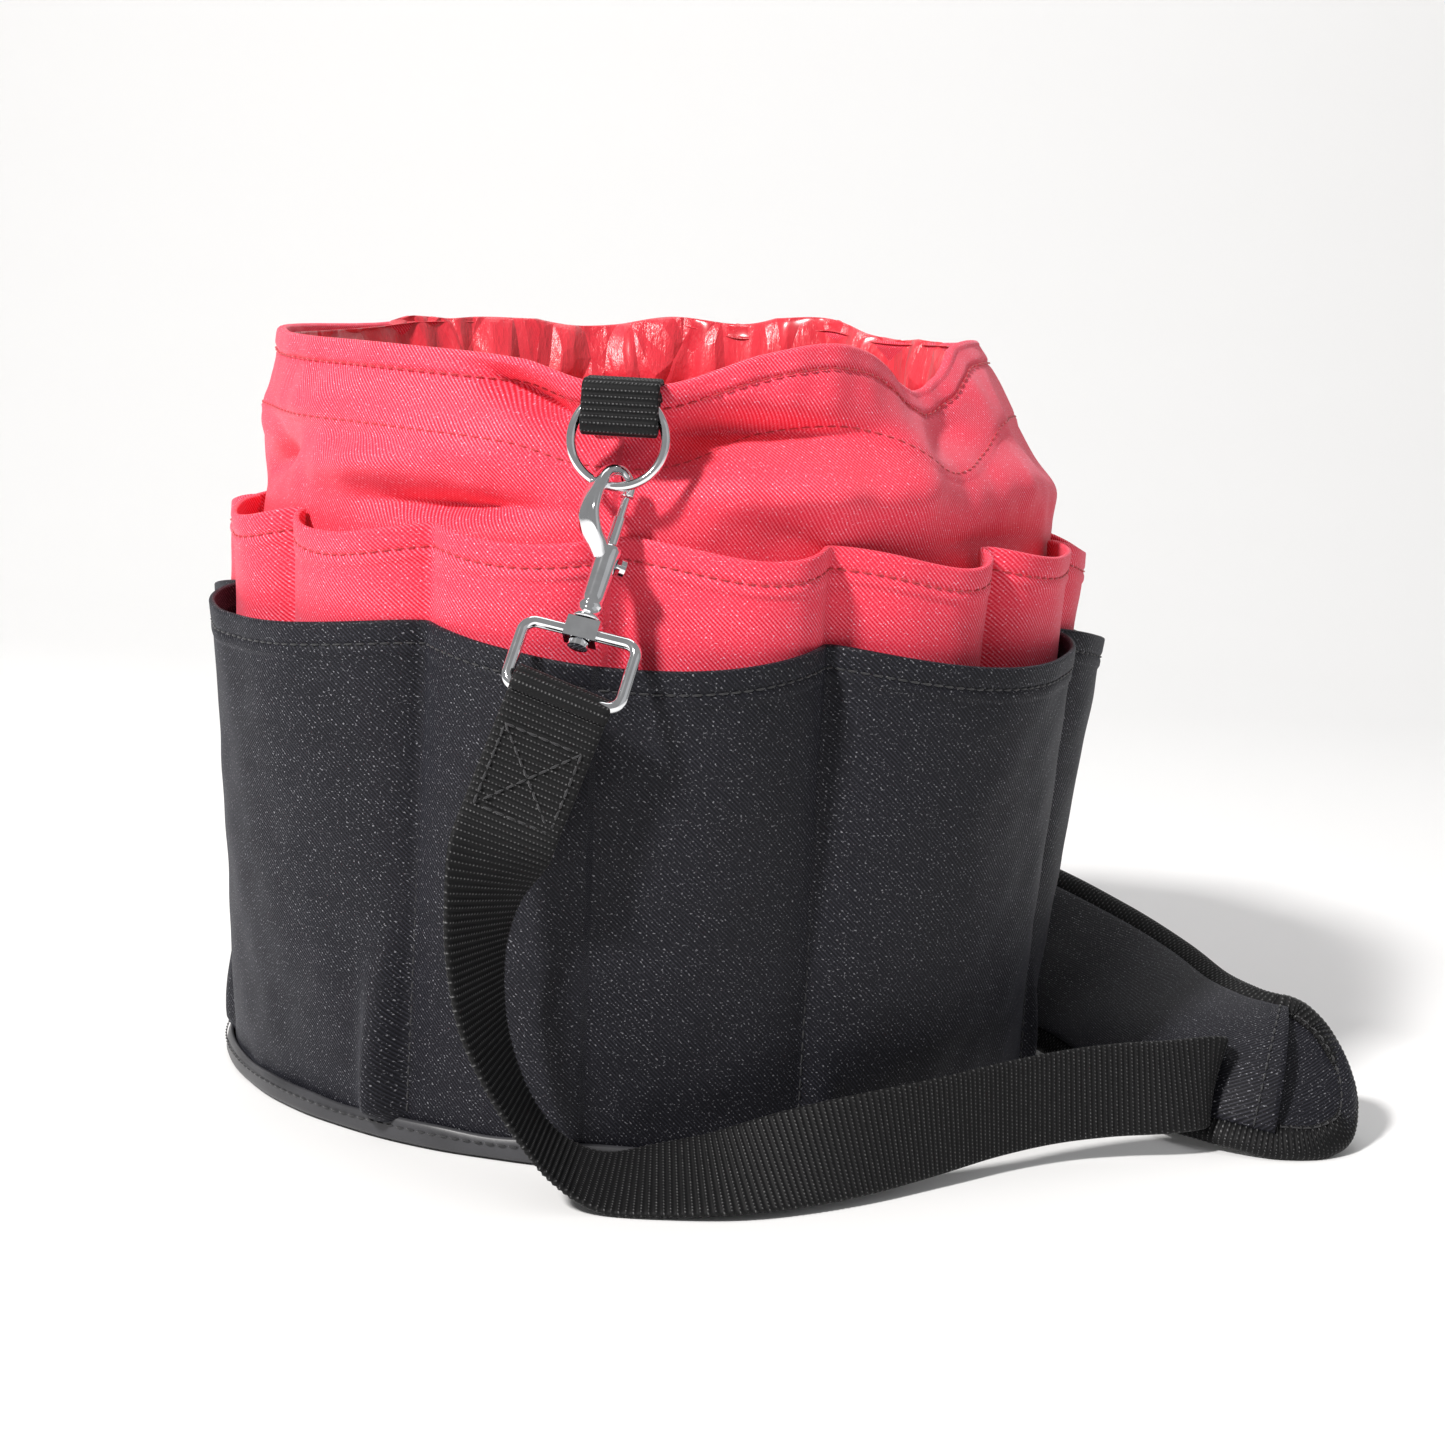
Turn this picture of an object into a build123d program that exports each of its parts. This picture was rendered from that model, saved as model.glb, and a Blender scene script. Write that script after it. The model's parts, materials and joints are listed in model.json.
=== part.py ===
"""Round garden tool bag: a drum of fabric with two rings of outside pockets and a clip-on shoulder strap.

Millimetres, +Z up. The origin is the centre of the underside. The front ring tab faces -Y, the rear
one faces +Y. An azimuth of 0 is the front (-Y) and grows towards +X.
"""

from build123d import *
from math import cos, pi, radians, sin
import os

# Driving dimensions
BODY_R = 111.6  # outside of the drum's wall
WALL_T = 1.6
LINING_T = 1.0
PANEL_T = 1.2  # one layer of pocket or base fabric
PLY_GAP = 0.2  # between two layers sewn face to face
BAG_H = 203.0
LEAN_START_Z = 150.0  # the collar leans inward above this height
COLLAR_LEAN = 0.104  # inward run of the collar per millimetre of height
HEM_Z = 181.0
HEM_LINED_Z = 190.0
WALL_TOP_Z = 201.0
SEW_Z = 1.4  # the walls and pockets start here, on the base panel
BOARD_T = 2.5

RED_COUNT = 14
RED_RIM_Z = 156.0
RED_SEAM_R = 111.8
RED_MID_R = 121.0
BLACK_COUNT = 7
BLACK_RIM_Z = 130.0
BLACK_SEAM_R = 113.7
BLACK_MID_R = 131.5
SEAM_GAP_DEG = 0.12

BINDING_H = 5.0
BINDING_R = 117.0

TAB_W = 19.0
WEB_T = 1.5  # thickness of the webbing, tab and strap
RING_WIRE_R = 1.2
RING_R = 11.5  # to the middle of the wire
RING_Y = -112.75
RING_Z = 181.3
TAB_FOLD_Z = 183.0
TAB_TOP_Z = 199.5
TAB_SLACK = 0.6  # room for the flat tab inside the curved collar
TAB_TILT = 11.0  # the loop and the ring hang a little away from the collar
TAB_HINGE = (0.0, -111.0, 200.5)

HOOK_LEAN = 30.0
HOOK_ROLL = {"front": 11.0, "rear": -8.0}
CLAW_AZ = 225.0  # the way the claw bulges, in the hook's own plan
CLAW_R = 1.5
CLAW_REACH = 9.4
CLAW_TOP = 38.6
NOSE_END = 33.8
BARREL_R = 3.0
BARREL_H = 20.0
BORE_R = 1.6
BORE_FLOOR = 1.5
BOLT_R = 1.5
BOLT_TIP_R = 1.05
BOLT_LOW = 12.0
BOLT_STEP = 28.0
BOLT_HIGH = 33.4
BOLT_TRAVEL = 7.0
KNOB_Z = 16.0
KNOB_AZ = 20.0
KNOB_STEM_R = 0.75
KNOB_R = 2.3
SPRING_TOP = 4.8
RING_IN_CLAW = (4.2, 34.5)  # the ring's wire, out from the bolt and up from the flange
KNOB_T = 1.3
KNOB_FIT = 0.02  # between the stem's foot and the bolt
KNOB_PROUD = 0.6  # from the barrel to the button
SPRING_CLEAR = 0.15
SPRING_LIFT = 0.05
SPRING_INNER_R = 0.8
BLOCK_GAP = 0.3  # over and under the eye's block
RIVET_FIT = 0.01
RIVET_HEAD_R = 2.5
RIVET_HEAD_H = 1.3
EYE_ROOT = 0.5  # how far the eye's wire reaches into the block
LOOP_JOIN = 8.0  # from the eye's bar down to where the strap's two layers meet
SEAM_OPEN = 0.3
TAPE_T = 1.2  # the pad's binding tape
TAPE_OUT = 0.9  # its middle, out from the pad's edge
FOAM_MARGIN = 6.0
EYE_HALF_W = 14.0
EYE_TOP = -3.1
EYE_BOTTOM = -20.2
EYE_WIRE_R = 1.5
EYE_CORNER_R = 3.2
RIVET_R = 1.4
RIVET_BORE_R = 1.47
BLOCK = (8.0, 5.4, 5.2)

STRAP_W = 24.5
STRAP_END_ROLL = {"front": 14.0, "rear": -11.0}
STRAP_LOOP_R = 3.3
SEWN_LEN = 35.0

PAD_W = 52.0
PAD_BASE_T = 1.0
PAD_FOAM_T = 2.6
PAD_SLEEVE_T = 1.2
PAD_TUNNEL = 2.1  # between the base's top and the sleeve

GLIDE_MID = (-32.5, 171.5, 15.8)
GLIDE_RUN = (0.98, -0.196, 0.0)  # along the strap's straight stretch behind the bag
GLIDE_LEN = 20.0
GLIDE_BAR = 2.4
GLIDE_RAIL = 2.6
GLIDE_CLEAR = 0.5

os.makedirs("parts", exist_ok=True)


def save(name, *solids):
    """Write one node; a group of separate solids becomes one compound."""
    shape = solids[0] if len(solids) == 1 else Compound(children=list(solids))
    export_step(shape, f"parts/{name}.step")


def polar(radius, azimuth, z=0.0):
    """A point at a radius and an azimuth from the front."""
    return Vector(radius * sin(radians(azimuth)), -radius * cos(radians(azimuth)), z)


def spin(profile):
    """Revolve a closed (radius, z) outline about the bag's axis."""
    outline = Polyline(*[(r, 0, z) for r, z in profile], close=True)
    return revolve(make_face(outline), Axis.Z, 360)


def collar_r(z, inward=0.0):
    """The drum wall's outside radius at a height, less an inward offset."""
    return BODY_R - inward - COLLAR_LEAN * max(0.0, z - LEAN_START_Z)


def leaning_ring(inward, thickness, low_z, top_z):
    """A wall ring that follows the drum and its leaning collar."""
    levels = (low_z, LEAN_START_Z, top_z)
    outside = [(collar_r(z, inward), z) for z in levels]
    inside = [(collar_r(z, inward + thickness), z) for z in reversed(levels)]
    return spin(outside + inside)


# Base and drum
LINING_IN = WALL_T + PLY_GAP


def base_panel():
    return Cylinder(BODY_R + 1.0, PANEL_T, align=(Align.CENTER, Align.CENTER, Align.MIN))


def base_board():
    disc = Cylinder(BODY_R - LINING_IN, BOARD_T, align=(Align.CENTER, Align.CENTER, Align.MIN))
    return Pos(0, 0, SEW_Z) * disc


def lining_floor():
    disc = Cylinder(BODY_R - LINING_IN, LINING_T, align=(Align.CENTER, Align.CENTER, Align.MIN))
    return Pos(0, 0, SEW_Z + BOARD_T + PLY_GAP) * disc


def base_binding():
    """Vinyl tape bound round the bottom edge: a low outside leg and a foot turned under."""
    inner = BINDING_R - PANEL_T
    foot = BODY_R + 1.0 + PLY_GAP
    return spin([
        (foot, 0), (BINDING_R, 0), (BINDING_R, BINDING_H), (inner, BINDING_H), (inner, 1.0), (foot, 1.0),
    ])


def body_wall():
    return leaning_ring(0.0, WALL_T, SEW_Z, WALL_TOP_Z)


def lining_wall():
    return leaning_ring(LINING_IN, LINING_T, SEW_Z + BOARD_T + LINING_T + 2 * PLY_GAP, WALL_TOP_Z)


def hem_band():
    """The hem facing folded over the top of the wall and the lining."""
    out_low, out_high = -PLY_GAP - PANEL_T, -PLY_GAP
    in_low = LINING_IN + LINING_T + PLY_GAP
    in_high = in_low + LINING_T
    cap_z = WALL_TOP_Z + PLY_GAP
    return spin([
        (collar_r(HEM_Z, out_low), HEM_Z), (collar_r(BAG_H, out_low), BAG_H),
        (collar_r(BAG_H, in_high), BAG_H), (collar_r(HEM_LINED_Z, in_high), HEM_LINED_Z),
        (collar_r(HEM_LINED_Z, in_low), HEM_LINED_Z), (collar_r(cap_z, in_low), cap_z),
        (collar_r(cap_z, out_high), cap_z), (collar_r(HEM_Z, out_high), HEM_Z),
    ])


# Pockets
def pocket_outline(z, start, end, seam_r, middle_r):
    """The plan of one pocket's fabric at a height, from seam to seam."""
    middle = (start + end) / 2
    outer_r, outer_mid_r = seam_r + PANEL_T, middle_r + PANEL_T
    inside = ThreePointArc(polar(seam_r, start, z), polar(middle_r, middle, z), polar(seam_r, end, z))
    outside = ThreePointArc(polar(outer_r, end, z), polar(outer_mid_r, middle, z), polar(outer_r, start, z))
    return make_face([inside, Line(inside @ 1, outside @ 0), outside, Line(outside @ 1, inside @ 0)])


def pocket(index, count, turn, rim_z, seam_r, middle_r):
    """One pocket: round the drum at its foot, bulging at its rim."""
    pitch = 360 / count
    start = turn + index * pitch + SEAM_GAP_DEG
    end = turn + (index + 1) * pitch - SEAM_GAP_DEG
    foot = pocket_outline(SEW_Z, start, end, seam_r, seam_r)
    rim = pocket_outline(rim_z, start, end, seam_r, middle_r)
    return loft([foot, rim], ruled=True)


def red_pockets():
    return [pocket(i, RED_COUNT, 0.0, RED_RIM_Z, RED_SEAM_R, RED_MID_R) for i in range(RED_COUNT)]


def black_pockets():
    first_seam = -180 / BLACK_COUNT
    return [
        pocket(i, BLACK_COUNT, first_seam, BLACK_RIM_Z, BLACK_SEAM_R, BLACK_MID_R)
        for i in range(BLACK_COUNT)
    ]


# Ring tab, front side; the rear one is the same, turned half round
TAB_BACK_Y = RING_Y + RING_WIRE_R + 0.35
TAB_FRONT_Y = RING_Y - RING_WIRE_R - 0.35


def tab_anchor():
    """The end of the tab, sewn inside the collar and brought over its top."""
    inward = LINING_IN + 2 * LINING_T + 2 * PLY_GAP + WEB_T + TAB_SLACK
    inner_y = -collar_r(BAG_H, inward)
    low_y = -collar_r(HEM_LINED_Z, inward)
    over_z = BAG_H + PLY_GAP
    outline = Polyline(
        (0, low_y, HEM_LINED_Z), (0, inner_y, over_z + WEB_T), (0, TAB_BACK_Y, over_z + WEB_T),
        (0, TAB_BACK_Y, over_z), (0, inner_y - WEB_T, over_z), (0, low_y - WEB_T, HEM_LINED_Z),
        close=True,
    )
    return extrude(make_face(outline), TAB_W / 2, dir=(1, 0, 0), both=True)


def tab_loop():
    """The hanging part of the tab: a narrow U of webbing that holds the ring's upper half."""
    out_y, in_y = TAB_FRONT_Y - WEB_T, TAB_BACK_Y + WEB_T
    fold_z = TAB_FOLD_Z + WEB_T
    outline = Polyline(
        (0, in_y, TAB_TOP_Z), (0, in_y, TAB_FOLD_Z), (0, out_y, TAB_FOLD_Z), (0, out_y, TAB_TOP_Z),
        (0, TAB_FRONT_Y, TAB_TOP_Z), (0, TAB_FRONT_Y, fold_z), (0, TAB_BACK_Y, fold_z),
        (0, TAB_BACK_Y, TAB_TOP_Z), close=True,
    )
    return extrude(make_face(outline), TAB_W / 2, dir=(1, 0, 0), both=True)


def ring():
    return Pos(0, RING_Y, RING_Z) * Rot(90, 0, 0) * Torus(RING_R, RING_WIRE_R)


TAB_HANG = Pos(*TAB_HINGE) * Rot(-TAB_TILT, 0, 0) * Pos(*(-Vector(*TAB_HINGE)))

# Bolt snap hook, drawn upright with its flange at z = 0, then hung from the ring
WIRE_OUT, WIRE_UP = RING_IN_CLAW
WIRE_IN_HOOK = Pos(WIRE_OUT * cos(radians(CLAW_AZ)), WIRE_OUT * sin(radians(CLAW_AZ)), WIRE_UP)
RING_LOW = (TAB_HANG * Pos(0, RING_Y, RING_Z - RING_R)).position


def hook_place(roll):
    """Where a hook hangs, so that the ring's lowest wire lies in its claw."""
    turn = Rot(-HOOK_LEAN, 0, 0) * Rot(0, roll, 0)
    return Pos(*(RING_LOW - (turn * WIRE_IN_HOOK).position)) * turn


def upright(radius, low, high):
    """A round bar on the hook's axis between two heights."""
    bar = Cylinder(radius, high - low, align=(Align.CENTER, Align.CENTER, Align.MIN))
    return Pos(0, 0, low) * bar


def claw():
    """The claw's bar: out of the barrel, up, over the ring and down to the nose."""
    path = FilletPolyline(
        (1.0, 0, 11.0), (CLAW_REACH, 0, 24.0), (CLAW_REACH - 1.2, 0, CLAW_TOP), (0, 0, CLAW_TOP),
        (0, 0, NOSE_END), radius=[12.0, 3.2, 3.2],
    )
    bar = sweep(Plane(path @ 0, z_dir=path % 0) * Circle(CLAW_R), path=path)
    return Rot(0, 0, CLAW_AZ) * bar


def hook_body():
    flange = upright(BARREL_R + 0.5, 0, 1.0)
    bore = upright(BORE_R, BORE_FLOOR, BARREL_H + 1)
    slot_low = KNOB_Z - BOLT_TRAVEL - KNOB_STEM_R - 0.4
    slot_high = KNOB_Z + KNOB_STEM_R + 0.3
    slot = Pos(0, 0, (slot_low + slot_high) / 2) * Box(
        2 * BARREL_R, 2 * KNOB_STEM_R + 0.4, slot_high - slot_low, align=(Align.MIN, Align.CENTER, Align.CENTER)
    )
    body = upright(BARREL_R, 0, BARREL_H) + flange + claw()
    return body - bore - Rot(0, 0, KNOB_AZ) * slot


def hook_bolt():
    return upright(BOLT_R, BOLT_LOW, BOLT_STEP) + upright(BOLT_TIP_R, BOLT_STEP, BOLT_HIGH)


def thumb_knob():
    """The button that pulls the bolt down, on a stem through the barrel's slot."""
    stem_start = BOLT_R + KNOB_FIT
    stem_len = BARREL_R + KNOB_PROUD - stem_start
    stem = Cylinder(KNOB_STEM_R, stem_len, align=(Align.CENTER, Align.CENTER, Align.MIN))
    button = Cylinder(KNOB_R, KNOB_T, align=(Align.CENTER, Align.CENTER, Align.MIN))
    knob = Pos(stem_start, 0, 0) * Rot(0, 90, 0) * stem + Pos(BARREL_R + KNOB_PROUD, 0, 0) * Rot(0, 90, 0) * button
    return Rot(0, 0, KNOB_AZ) * Pos(0, 0, KNOB_Z) * knob


def hook_spring():
    """The bolt's spring at its pressed length, as a tube of its outer and inner size."""
    outer = upright(BORE_R - SPRING_CLEAR, BORE_FLOOR + SPRING_LIFT, SPRING_TOP)
    return outer - upright(SPRING_INNER_R, 0, SPRING_TOP + 1)


def swivel_rivet():
    head_top = -BLOCK_GAP - BLOCK[2] - BLOCK_GAP
    shank = upright(RIVET_R, head_top, -RIVET_FIT)
    return shank + upright(RIVET_HEAD_R, head_top - RIVET_HEAD_H, head_top)


def swivel_eye():
    """The strap's square eye: a block on the rivet with a round wire bent out of it."""
    block_mid = -BLOCK_GAP - BLOCK[2] / 2
    half = BLOCK[0] / 2 - EYE_ROOT
    path = FilletPolyline(
        (-half, 0, EYE_TOP), (-EYE_HALF_W, 0, EYE_TOP), (-EYE_HALF_W, 0, EYE_BOTTOM),
        (EYE_HALF_W, 0, EYE_BOTTOM), (EYE_HALF_W, 0, EYE_TOP), (half, 0, EYE_TOP), radius=EYE_CORNER_R,
    )
    wire = sweep(Plane(path @ 0, z_dir=path % 0) * Circle(EYE_WIRE_R), path=path)
    return Pos(0, 0, block_mid) * Box(*BLOCK) + wire - upright(RIVET_BORE_R, -12, 1)


# Strap
def strap_end_place(hook, roll):
    """The sewn end hangs from the eye's lower bar."""
    return Pos(*(hook * Pos(0, 0, EYE_BOTTOM)).position) * Rot(0, roll, 0)


def strap_end():
    """The strap's end, taken round the eye's bar and sewn to itself."""
    outer = STRAP_LOOP_R + WEB_T
    loop = Rot(0, 90, 0) * (
        Cylinder(outer, STRAP_W) - Cylinder(STRAP_LOOP_R, STRAP_W)
    )
    below = Pos(0, 0, -outer) * Box(STRAP_W, 2 * outer, 2 * outer)
    outline = Polyline(
        (0, outer, 0), (0, STRAP_LOOP_R, 0), (0, 0, -LOOP_JOIN + SEAM_OPEN), (0, -STRAP_LOOP_R, 0), (0, -outer, 0),
        (0, -WEB_T, -LOOP_JOIN), (0, -WEB_T, -SEWN_LEN), (0, WEB_T, -SEWN_LEN), (0, WEB_T, -LOOP_JOIN), close=True,
    )
    legs = extrude(make_face(outline), STRAP_W / 2, dir=(1, 0, 0), both=True)
    return (loop - below) + legs


def ribbon(stations, width, low, high):
    """A flat band through (point, across, width share) stations, between two offsets off its middle.

    The band is square to its run and to the across direction at every station.
    """
    points = [Vector(*point) for point, _, _ in stations]
    faces = []
    for i, (_, across, share) in enumerate(stations):
        run = points[min(i + 1, len(points) - 1)] - points[max(i - 1, 0)]
        side = Vector(*across).normalized()
        normal = side.cross(run).normalized()
        half = side * (width * share / 2)
        corners = [
            points[i] - half + normal * low, points[i] + half + normal * low,
            points[i] + half + normal * high, points[i] - half + normal * high,
        ]
        faces.append(make_face(Polyline(*corners, close=True)))
    return loft(faces, ruled=True)


def full(stations):
    """Stations of a band of even width."""
    return [(point, across, 1.0) for point, across in stations]


# From the front sewn end down to the ground, turning its edge to the front on the way
DROP = full([
    ((-16.4, -142.8, 86.2), (0.96, 0.0, -0.25)),
    ((-20.0, -142.8, 72.0), (0.93, 0.32, -0.18)),
    ((-20.2, -142.8, 57.0), (0.72, 0.69, 0.0)),
    ((-17.4, -142.2, 43.0), (0.38, 0.92, 0.08)),
    ((-13.6, -141.4, 30.0), (0.12, 0.99, 0.08)),
    ((-9.0, -140.6, 18.6), (0.0, 0.995, 0.10)),
    ((-2.0, -140.0, 9.6), (-0.04, 0.98, 0.17)),
    ((8.0, -139.8, 4.6), (-0.06, 0.96, 0.26)),
])
# Along the ground on its edge, to the fold at the pad's mouth
FLOOR = full([
    ((8.6, -139.8, 4.5), (-0.06, 0.96, 0.27)),
    ((22.0, -140.2, 6.4), (-0.05, 0.90, 0.43)),
    ((38.0, -139.0, 8.4), (0.02, 0.80, 0.60)),
    ((55.0, -133.4, 10.4), (0.08, 0.64, 0.76)),
    ((72.0, -124.4, 12.0), (0.08, 0.44, 0.89)),
    ((89.0, -111.2, 13.0), (0.04, 0.22, 0.97)),
    ((104.0, -97.2, 13.7), (0.0, 0.08, 1.0)),
    ((119.0, -85.6, 14.9), (0.0, 0.08, 1.0)),
    ((134.0, -76.4, 16.4), (0.05, 0.18, 0.98)),
    ((149.0, -68.4, 17.2), (0.12, 0.34, 0.93)),
])
FOLD_ACROSS = Vector(0.12, 0.36, 0.92).normalized()
FOLD_AHEAD = Vector(0.78, 0.50, -0.30).normalized()
FOLD_MID = Vector(159.0, -58.0, 18.0)
FOLD_R = 3.0
FOLD_LEAD = 9.0  # the straight run into the fold
# Where the pad lies, from its tip to its hidden end
PAD_RUN = [
    ((202.0, -40.0, 14.2), (0.20, 0.74, 0.62)),
    ((196.0, -42.0, 16.0), (0.22, 0.74, 0.62)),
    ((186.0, -43.6, 18.6), (0.27, 0.72, 0.62)),
    ((173.5, -41.0, 20.6), (0.42, 0.65, 0.62)),
    ((161.5, -29.0, 21.0), (0.60, 0.50, 0.63)),
    ((151.0, -6.0, 21.8), (0.68, 0.32, 0.66)),
    ((142.0, 22.0, 24.4), (0.57, 0.25, 0.78)),
    ((129.0, 50.0, 25.8), (0.47, 0.22, 0.85)),
    ((109.0, 81.0, 26.8), (0.36, 0.27, 0.89)),
    ((84.0, 106.0, 26.9), (0.30, 0.34, 0.89)),
    ((60.0, 124.0, 26.9), (0.24, 0.36, 0.90)),
    ((51.0, 129.0, 26.9), (0.21, 0.38, 0.90)),
    ((45.0, 132.0, 26.9), (0.20, 0.38, 0.90)),
]
PAD_SHARES = [0.34, 0.66, 0.88] + [1.0] * 7 + [0.9, 0.68, 0.36]
SLEEVE_SPAN = (4, 10)  # the sleeve's first and last stations on the pad
# How far towards the pad's lower edge the strap lies in the sleeve
TUNNEL_SHIFTS = [-12.5, -9.0, -4.0, 0.0, 0.0, 0.0, 0.0, 0.0, 0.0]
# From the pad's hidden end along the ground, round a loop of slack and up to the rear hook
REAR = full([
    ((38.0, 139.0, 23.0), (0.12, 0.30, 0.94)),
    ((24.0, 150.0, 18.6), (0.06, 0.15, 0.98)),
    ((8.0, 160.5, 16.4), (0.0, 0.05, 1.0)),
    ((-8.0, 166.6, 15.8), (0.0, 0.0, 1.0)),
    ((-58.0, 176.6, 15.8), (0.0, 0.0, 1.0)),
    ((-76.0, 178.6, 14.6), (0.0, 0.0, 1.0)),
    ((-88.0, 177.6, 13.8), (0.0, 0.0, 1.0)),
    ((-96.5, 173.0, 13.2), (0.0, 0.0, 1.0)),
    ((-99.5, 166.0, 13.2), (0.0, 0.0, 1.0)),
    ((-96.5, 158.5, 13.2), (0.0, 0.0, 1.0)),
    ((-88.0, 153.8, 13.6), (-0.1, 0.0, 0.99)),
    ((-74.0, 149.6, 17.4), (-0.38, 0.05, 0.92)),
    ((-59.0, 147.4, 26.0), (-0.52, 0.05, 0.85)),
    ((-44.0, 146.0, 38.0), (-0.65, 0.15, 0.74)),
    ((-31.5, 145.0, 53.0), (-0.78, 0.20, 0.60)),
    ((-22.5, 144.2, 69.0), (-0.93, 0.12, 0.35)),
    ((-17.6, 143.4, 86.4), (-0.98, 0.0, 0.19)),
])
TAIL_FIRST = 4  # the second layer runs from the glide to the hook
TAIL_LOW = WEB_T / 2 + 0.3  # its lower face, off the strap's middle
TAIL_START = ((-50.0, 175.0, 15.8), (0.0, 0.0, 1.0), 1.0)


def pad_stations(first, last):
    """The pad's run between two of its stations, with the rounded ends' narrowing."""
    return [(point, across, share) for (point, across), share in zip(PAD_RUN, PAD_SHARES)][first:last]


def pad_layer(low, thickness, first=0, last=len(PAD_RUN), width=PAD_W):
    return ribbon(pad_stations(first, last), width, low, low + thickness)


def pad_binding():
    """The woven tape round the pad's edge, as two long strips."""
    strips = []
    for side in (-1, 1):
        stations = []
        for (point, across), share in zip(PAD_RUN, PAD_SHARES):
            edge = Vector(*point) + Vector(*across).normalized() * (side * (PAD_W * share / 2 + TAPE_OUT))
            stations.append((tuple(edge), across, 1.0))
        strips.append(ribbon(stations, TAPE_T, -PAD_BASE_T - PAD_FOAM_T - PLY_GAP, 0.0))
    return strips


def tunnel_strap():
    """The strap inside the pad, between the base and the sleeve."""
    stations = []
    for (point, across), shift in zip(PAD_RUN[SLEEVE_SPAN[0]:], TUNNEL_SHIFTS):
        moved = Vector(*point) + Vector(*across).normalized() * shift
        stations.append((tuple(moved), across, 1.0))
    return ribbon(stations, STRAP_W, PLY_GAP, PLY_GAP + WEB_T)


def hairpin():
    """The fold where the strap turns back at the pad's mouth."""
    aside = FOLD_AHEAD.cross(FOLD_ACROSS)
    turns = [
        FOLD_MID + FOLD_AHEAD * (FOLD_R * cos(a)) + aside * (FOLD_R * sin(a))
        for a in (pi * (0.5 - i / 8) for i in range(9))
    ]
    lead_in = turns[0] - FOLD_AHEAD * FOLD_LEAD
    return full([(tuple(point), FOLD_ACROSS) for point in [lead_in, *turns]])


def tri_glide():
    """The strap adjuster: two outer bars over the strap and a middle one under it, on two rails."""
    rail_z = STRAP_W / 2 + GLIDE_CLEAR + GLIDE_RAIL / 2
    bar_y = WEB_T / 2 + GLIDE_CLEAR + GLIDE_BAR / 2
    span = 2 * rail_z + GLIDE_RAIL
    frame = Part()
    for side in (-1, 1):
        frame += Pos(0, 0, side * rail_z) * Box(GLIDE_LEN, 2 * bar_y + GLIDE_BAR, GLIDE_RAIL)
        frame += Pos(side * (GLIDE_LEN - GLIDE_BAR) / 2, bar_y, 0) * Box(GLIDE_BAR, GLIDE_BAR, span)
    return frame + Pos(0, -bar_y, 0) * Box(GLIDE_BAR, GLIDE_BAR, span)


GLIDE_PLACE = Location(Plane(GLIDE_MID, x_dir=GLIDE_RUN, z_dir=(0, 0, 1)))

nodes = {
    "base_panel": [base_panel()],
    "base_board": [base_board()],
    "lining_floor": [lining_floor()],
    "base_binding": [base_binding()],
    "body_wall": [body_wall()],
    "lining_wall": [lining_wall()],
    "hem_band": [hem_band()],
    "red_pocket_strip": red_pockets(),
    "black_pocket_strip": black_pockets(),
    "floor_strap": [ribbon(FLOOR, STRAP_W, -WEB_T / 2, WEB_T / 2)],
    "fold_strap": [ribbon(hairpin(), STRAP_W, -WEB_T / 2, WEB_T / 2)],
    "tunnel_strap": [tunnel_strap()],
    "rear_strap": [ribbon(REAR, STRAP_W, -WEB_T / 2, WEB_T / 2)],
    "rear_strap_tail": [ribbon([TAIL_START, *REAR[TAIL_FIRST:]], STRAP_W, TAIL_LOW, TAIL_LOW + WEB_T)],
    "front_strap_drop": [ribbon(DROP, STRAP_W, -WEB_T / 2, WEB_T / 2)],
    "tri_glide": [GLIDE_PLACE * tri_glide()],
    "pad_base": [pad_layer(-PAD_BASE_T - PAD_FOAM_T - PLY_GAP, PAD_BASE_T)],
    "pad_foam": [pad_layer(-PAD_FOAM_T, PAD_FOAM_T, 1, len(PAD_RUN) - 1, PAD_W - FOAM_MARGIN)],
    "pad_sleeve": [pad_layer(PAD_TUNNEL, PAD_SLEEVE_T, *SLEEVE_SPAN)],
    "pad_binding": pad_binding(),
}
for end, half_turn in (("front", 0), ("rear", 180)):
    turn = Rot(0, 0, half_turn)
    hook = hook_place(HOOK_ROLL[end])
    hang = turn * hook
    nodes[f"{end}_tab"] = [turn * tab_anchor()]
    nodes[f"{end}_tab_loop"] = [turn * TAB_HANG * tab_loop()]
    nodes[f"{end}_ring"] = [turn * TAB_HANG * ring()]
    nodes[f"{end}_hook_body"] = [hang * hook_body()]
    nodes[f"{end}_hook_bolt"] = [hang * hook_bolt()]
    nodes[f"{end}_thumb_knob"] = [hang * thumb_knob()]
    nodes[f"{end}_hook_spring"] = [hang * hook_spring()]
    nodes[f"{end}_swivel_rivet"] = [hang * swivel_rivet()]
    nodes[f"{end}_swivel_eye"] = [hang * swivel_eye()]
    nodes[f"{end}_strap_end"] = [turn * strap_end_place(hook, STRAP_END_ROLL[end]) * strap_end()]

for name, solids in nodes.items():
    save(name, *solids)
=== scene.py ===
import json
import math
import bpy
import numpy as np
from mathutils import Matrix, Vector


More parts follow.
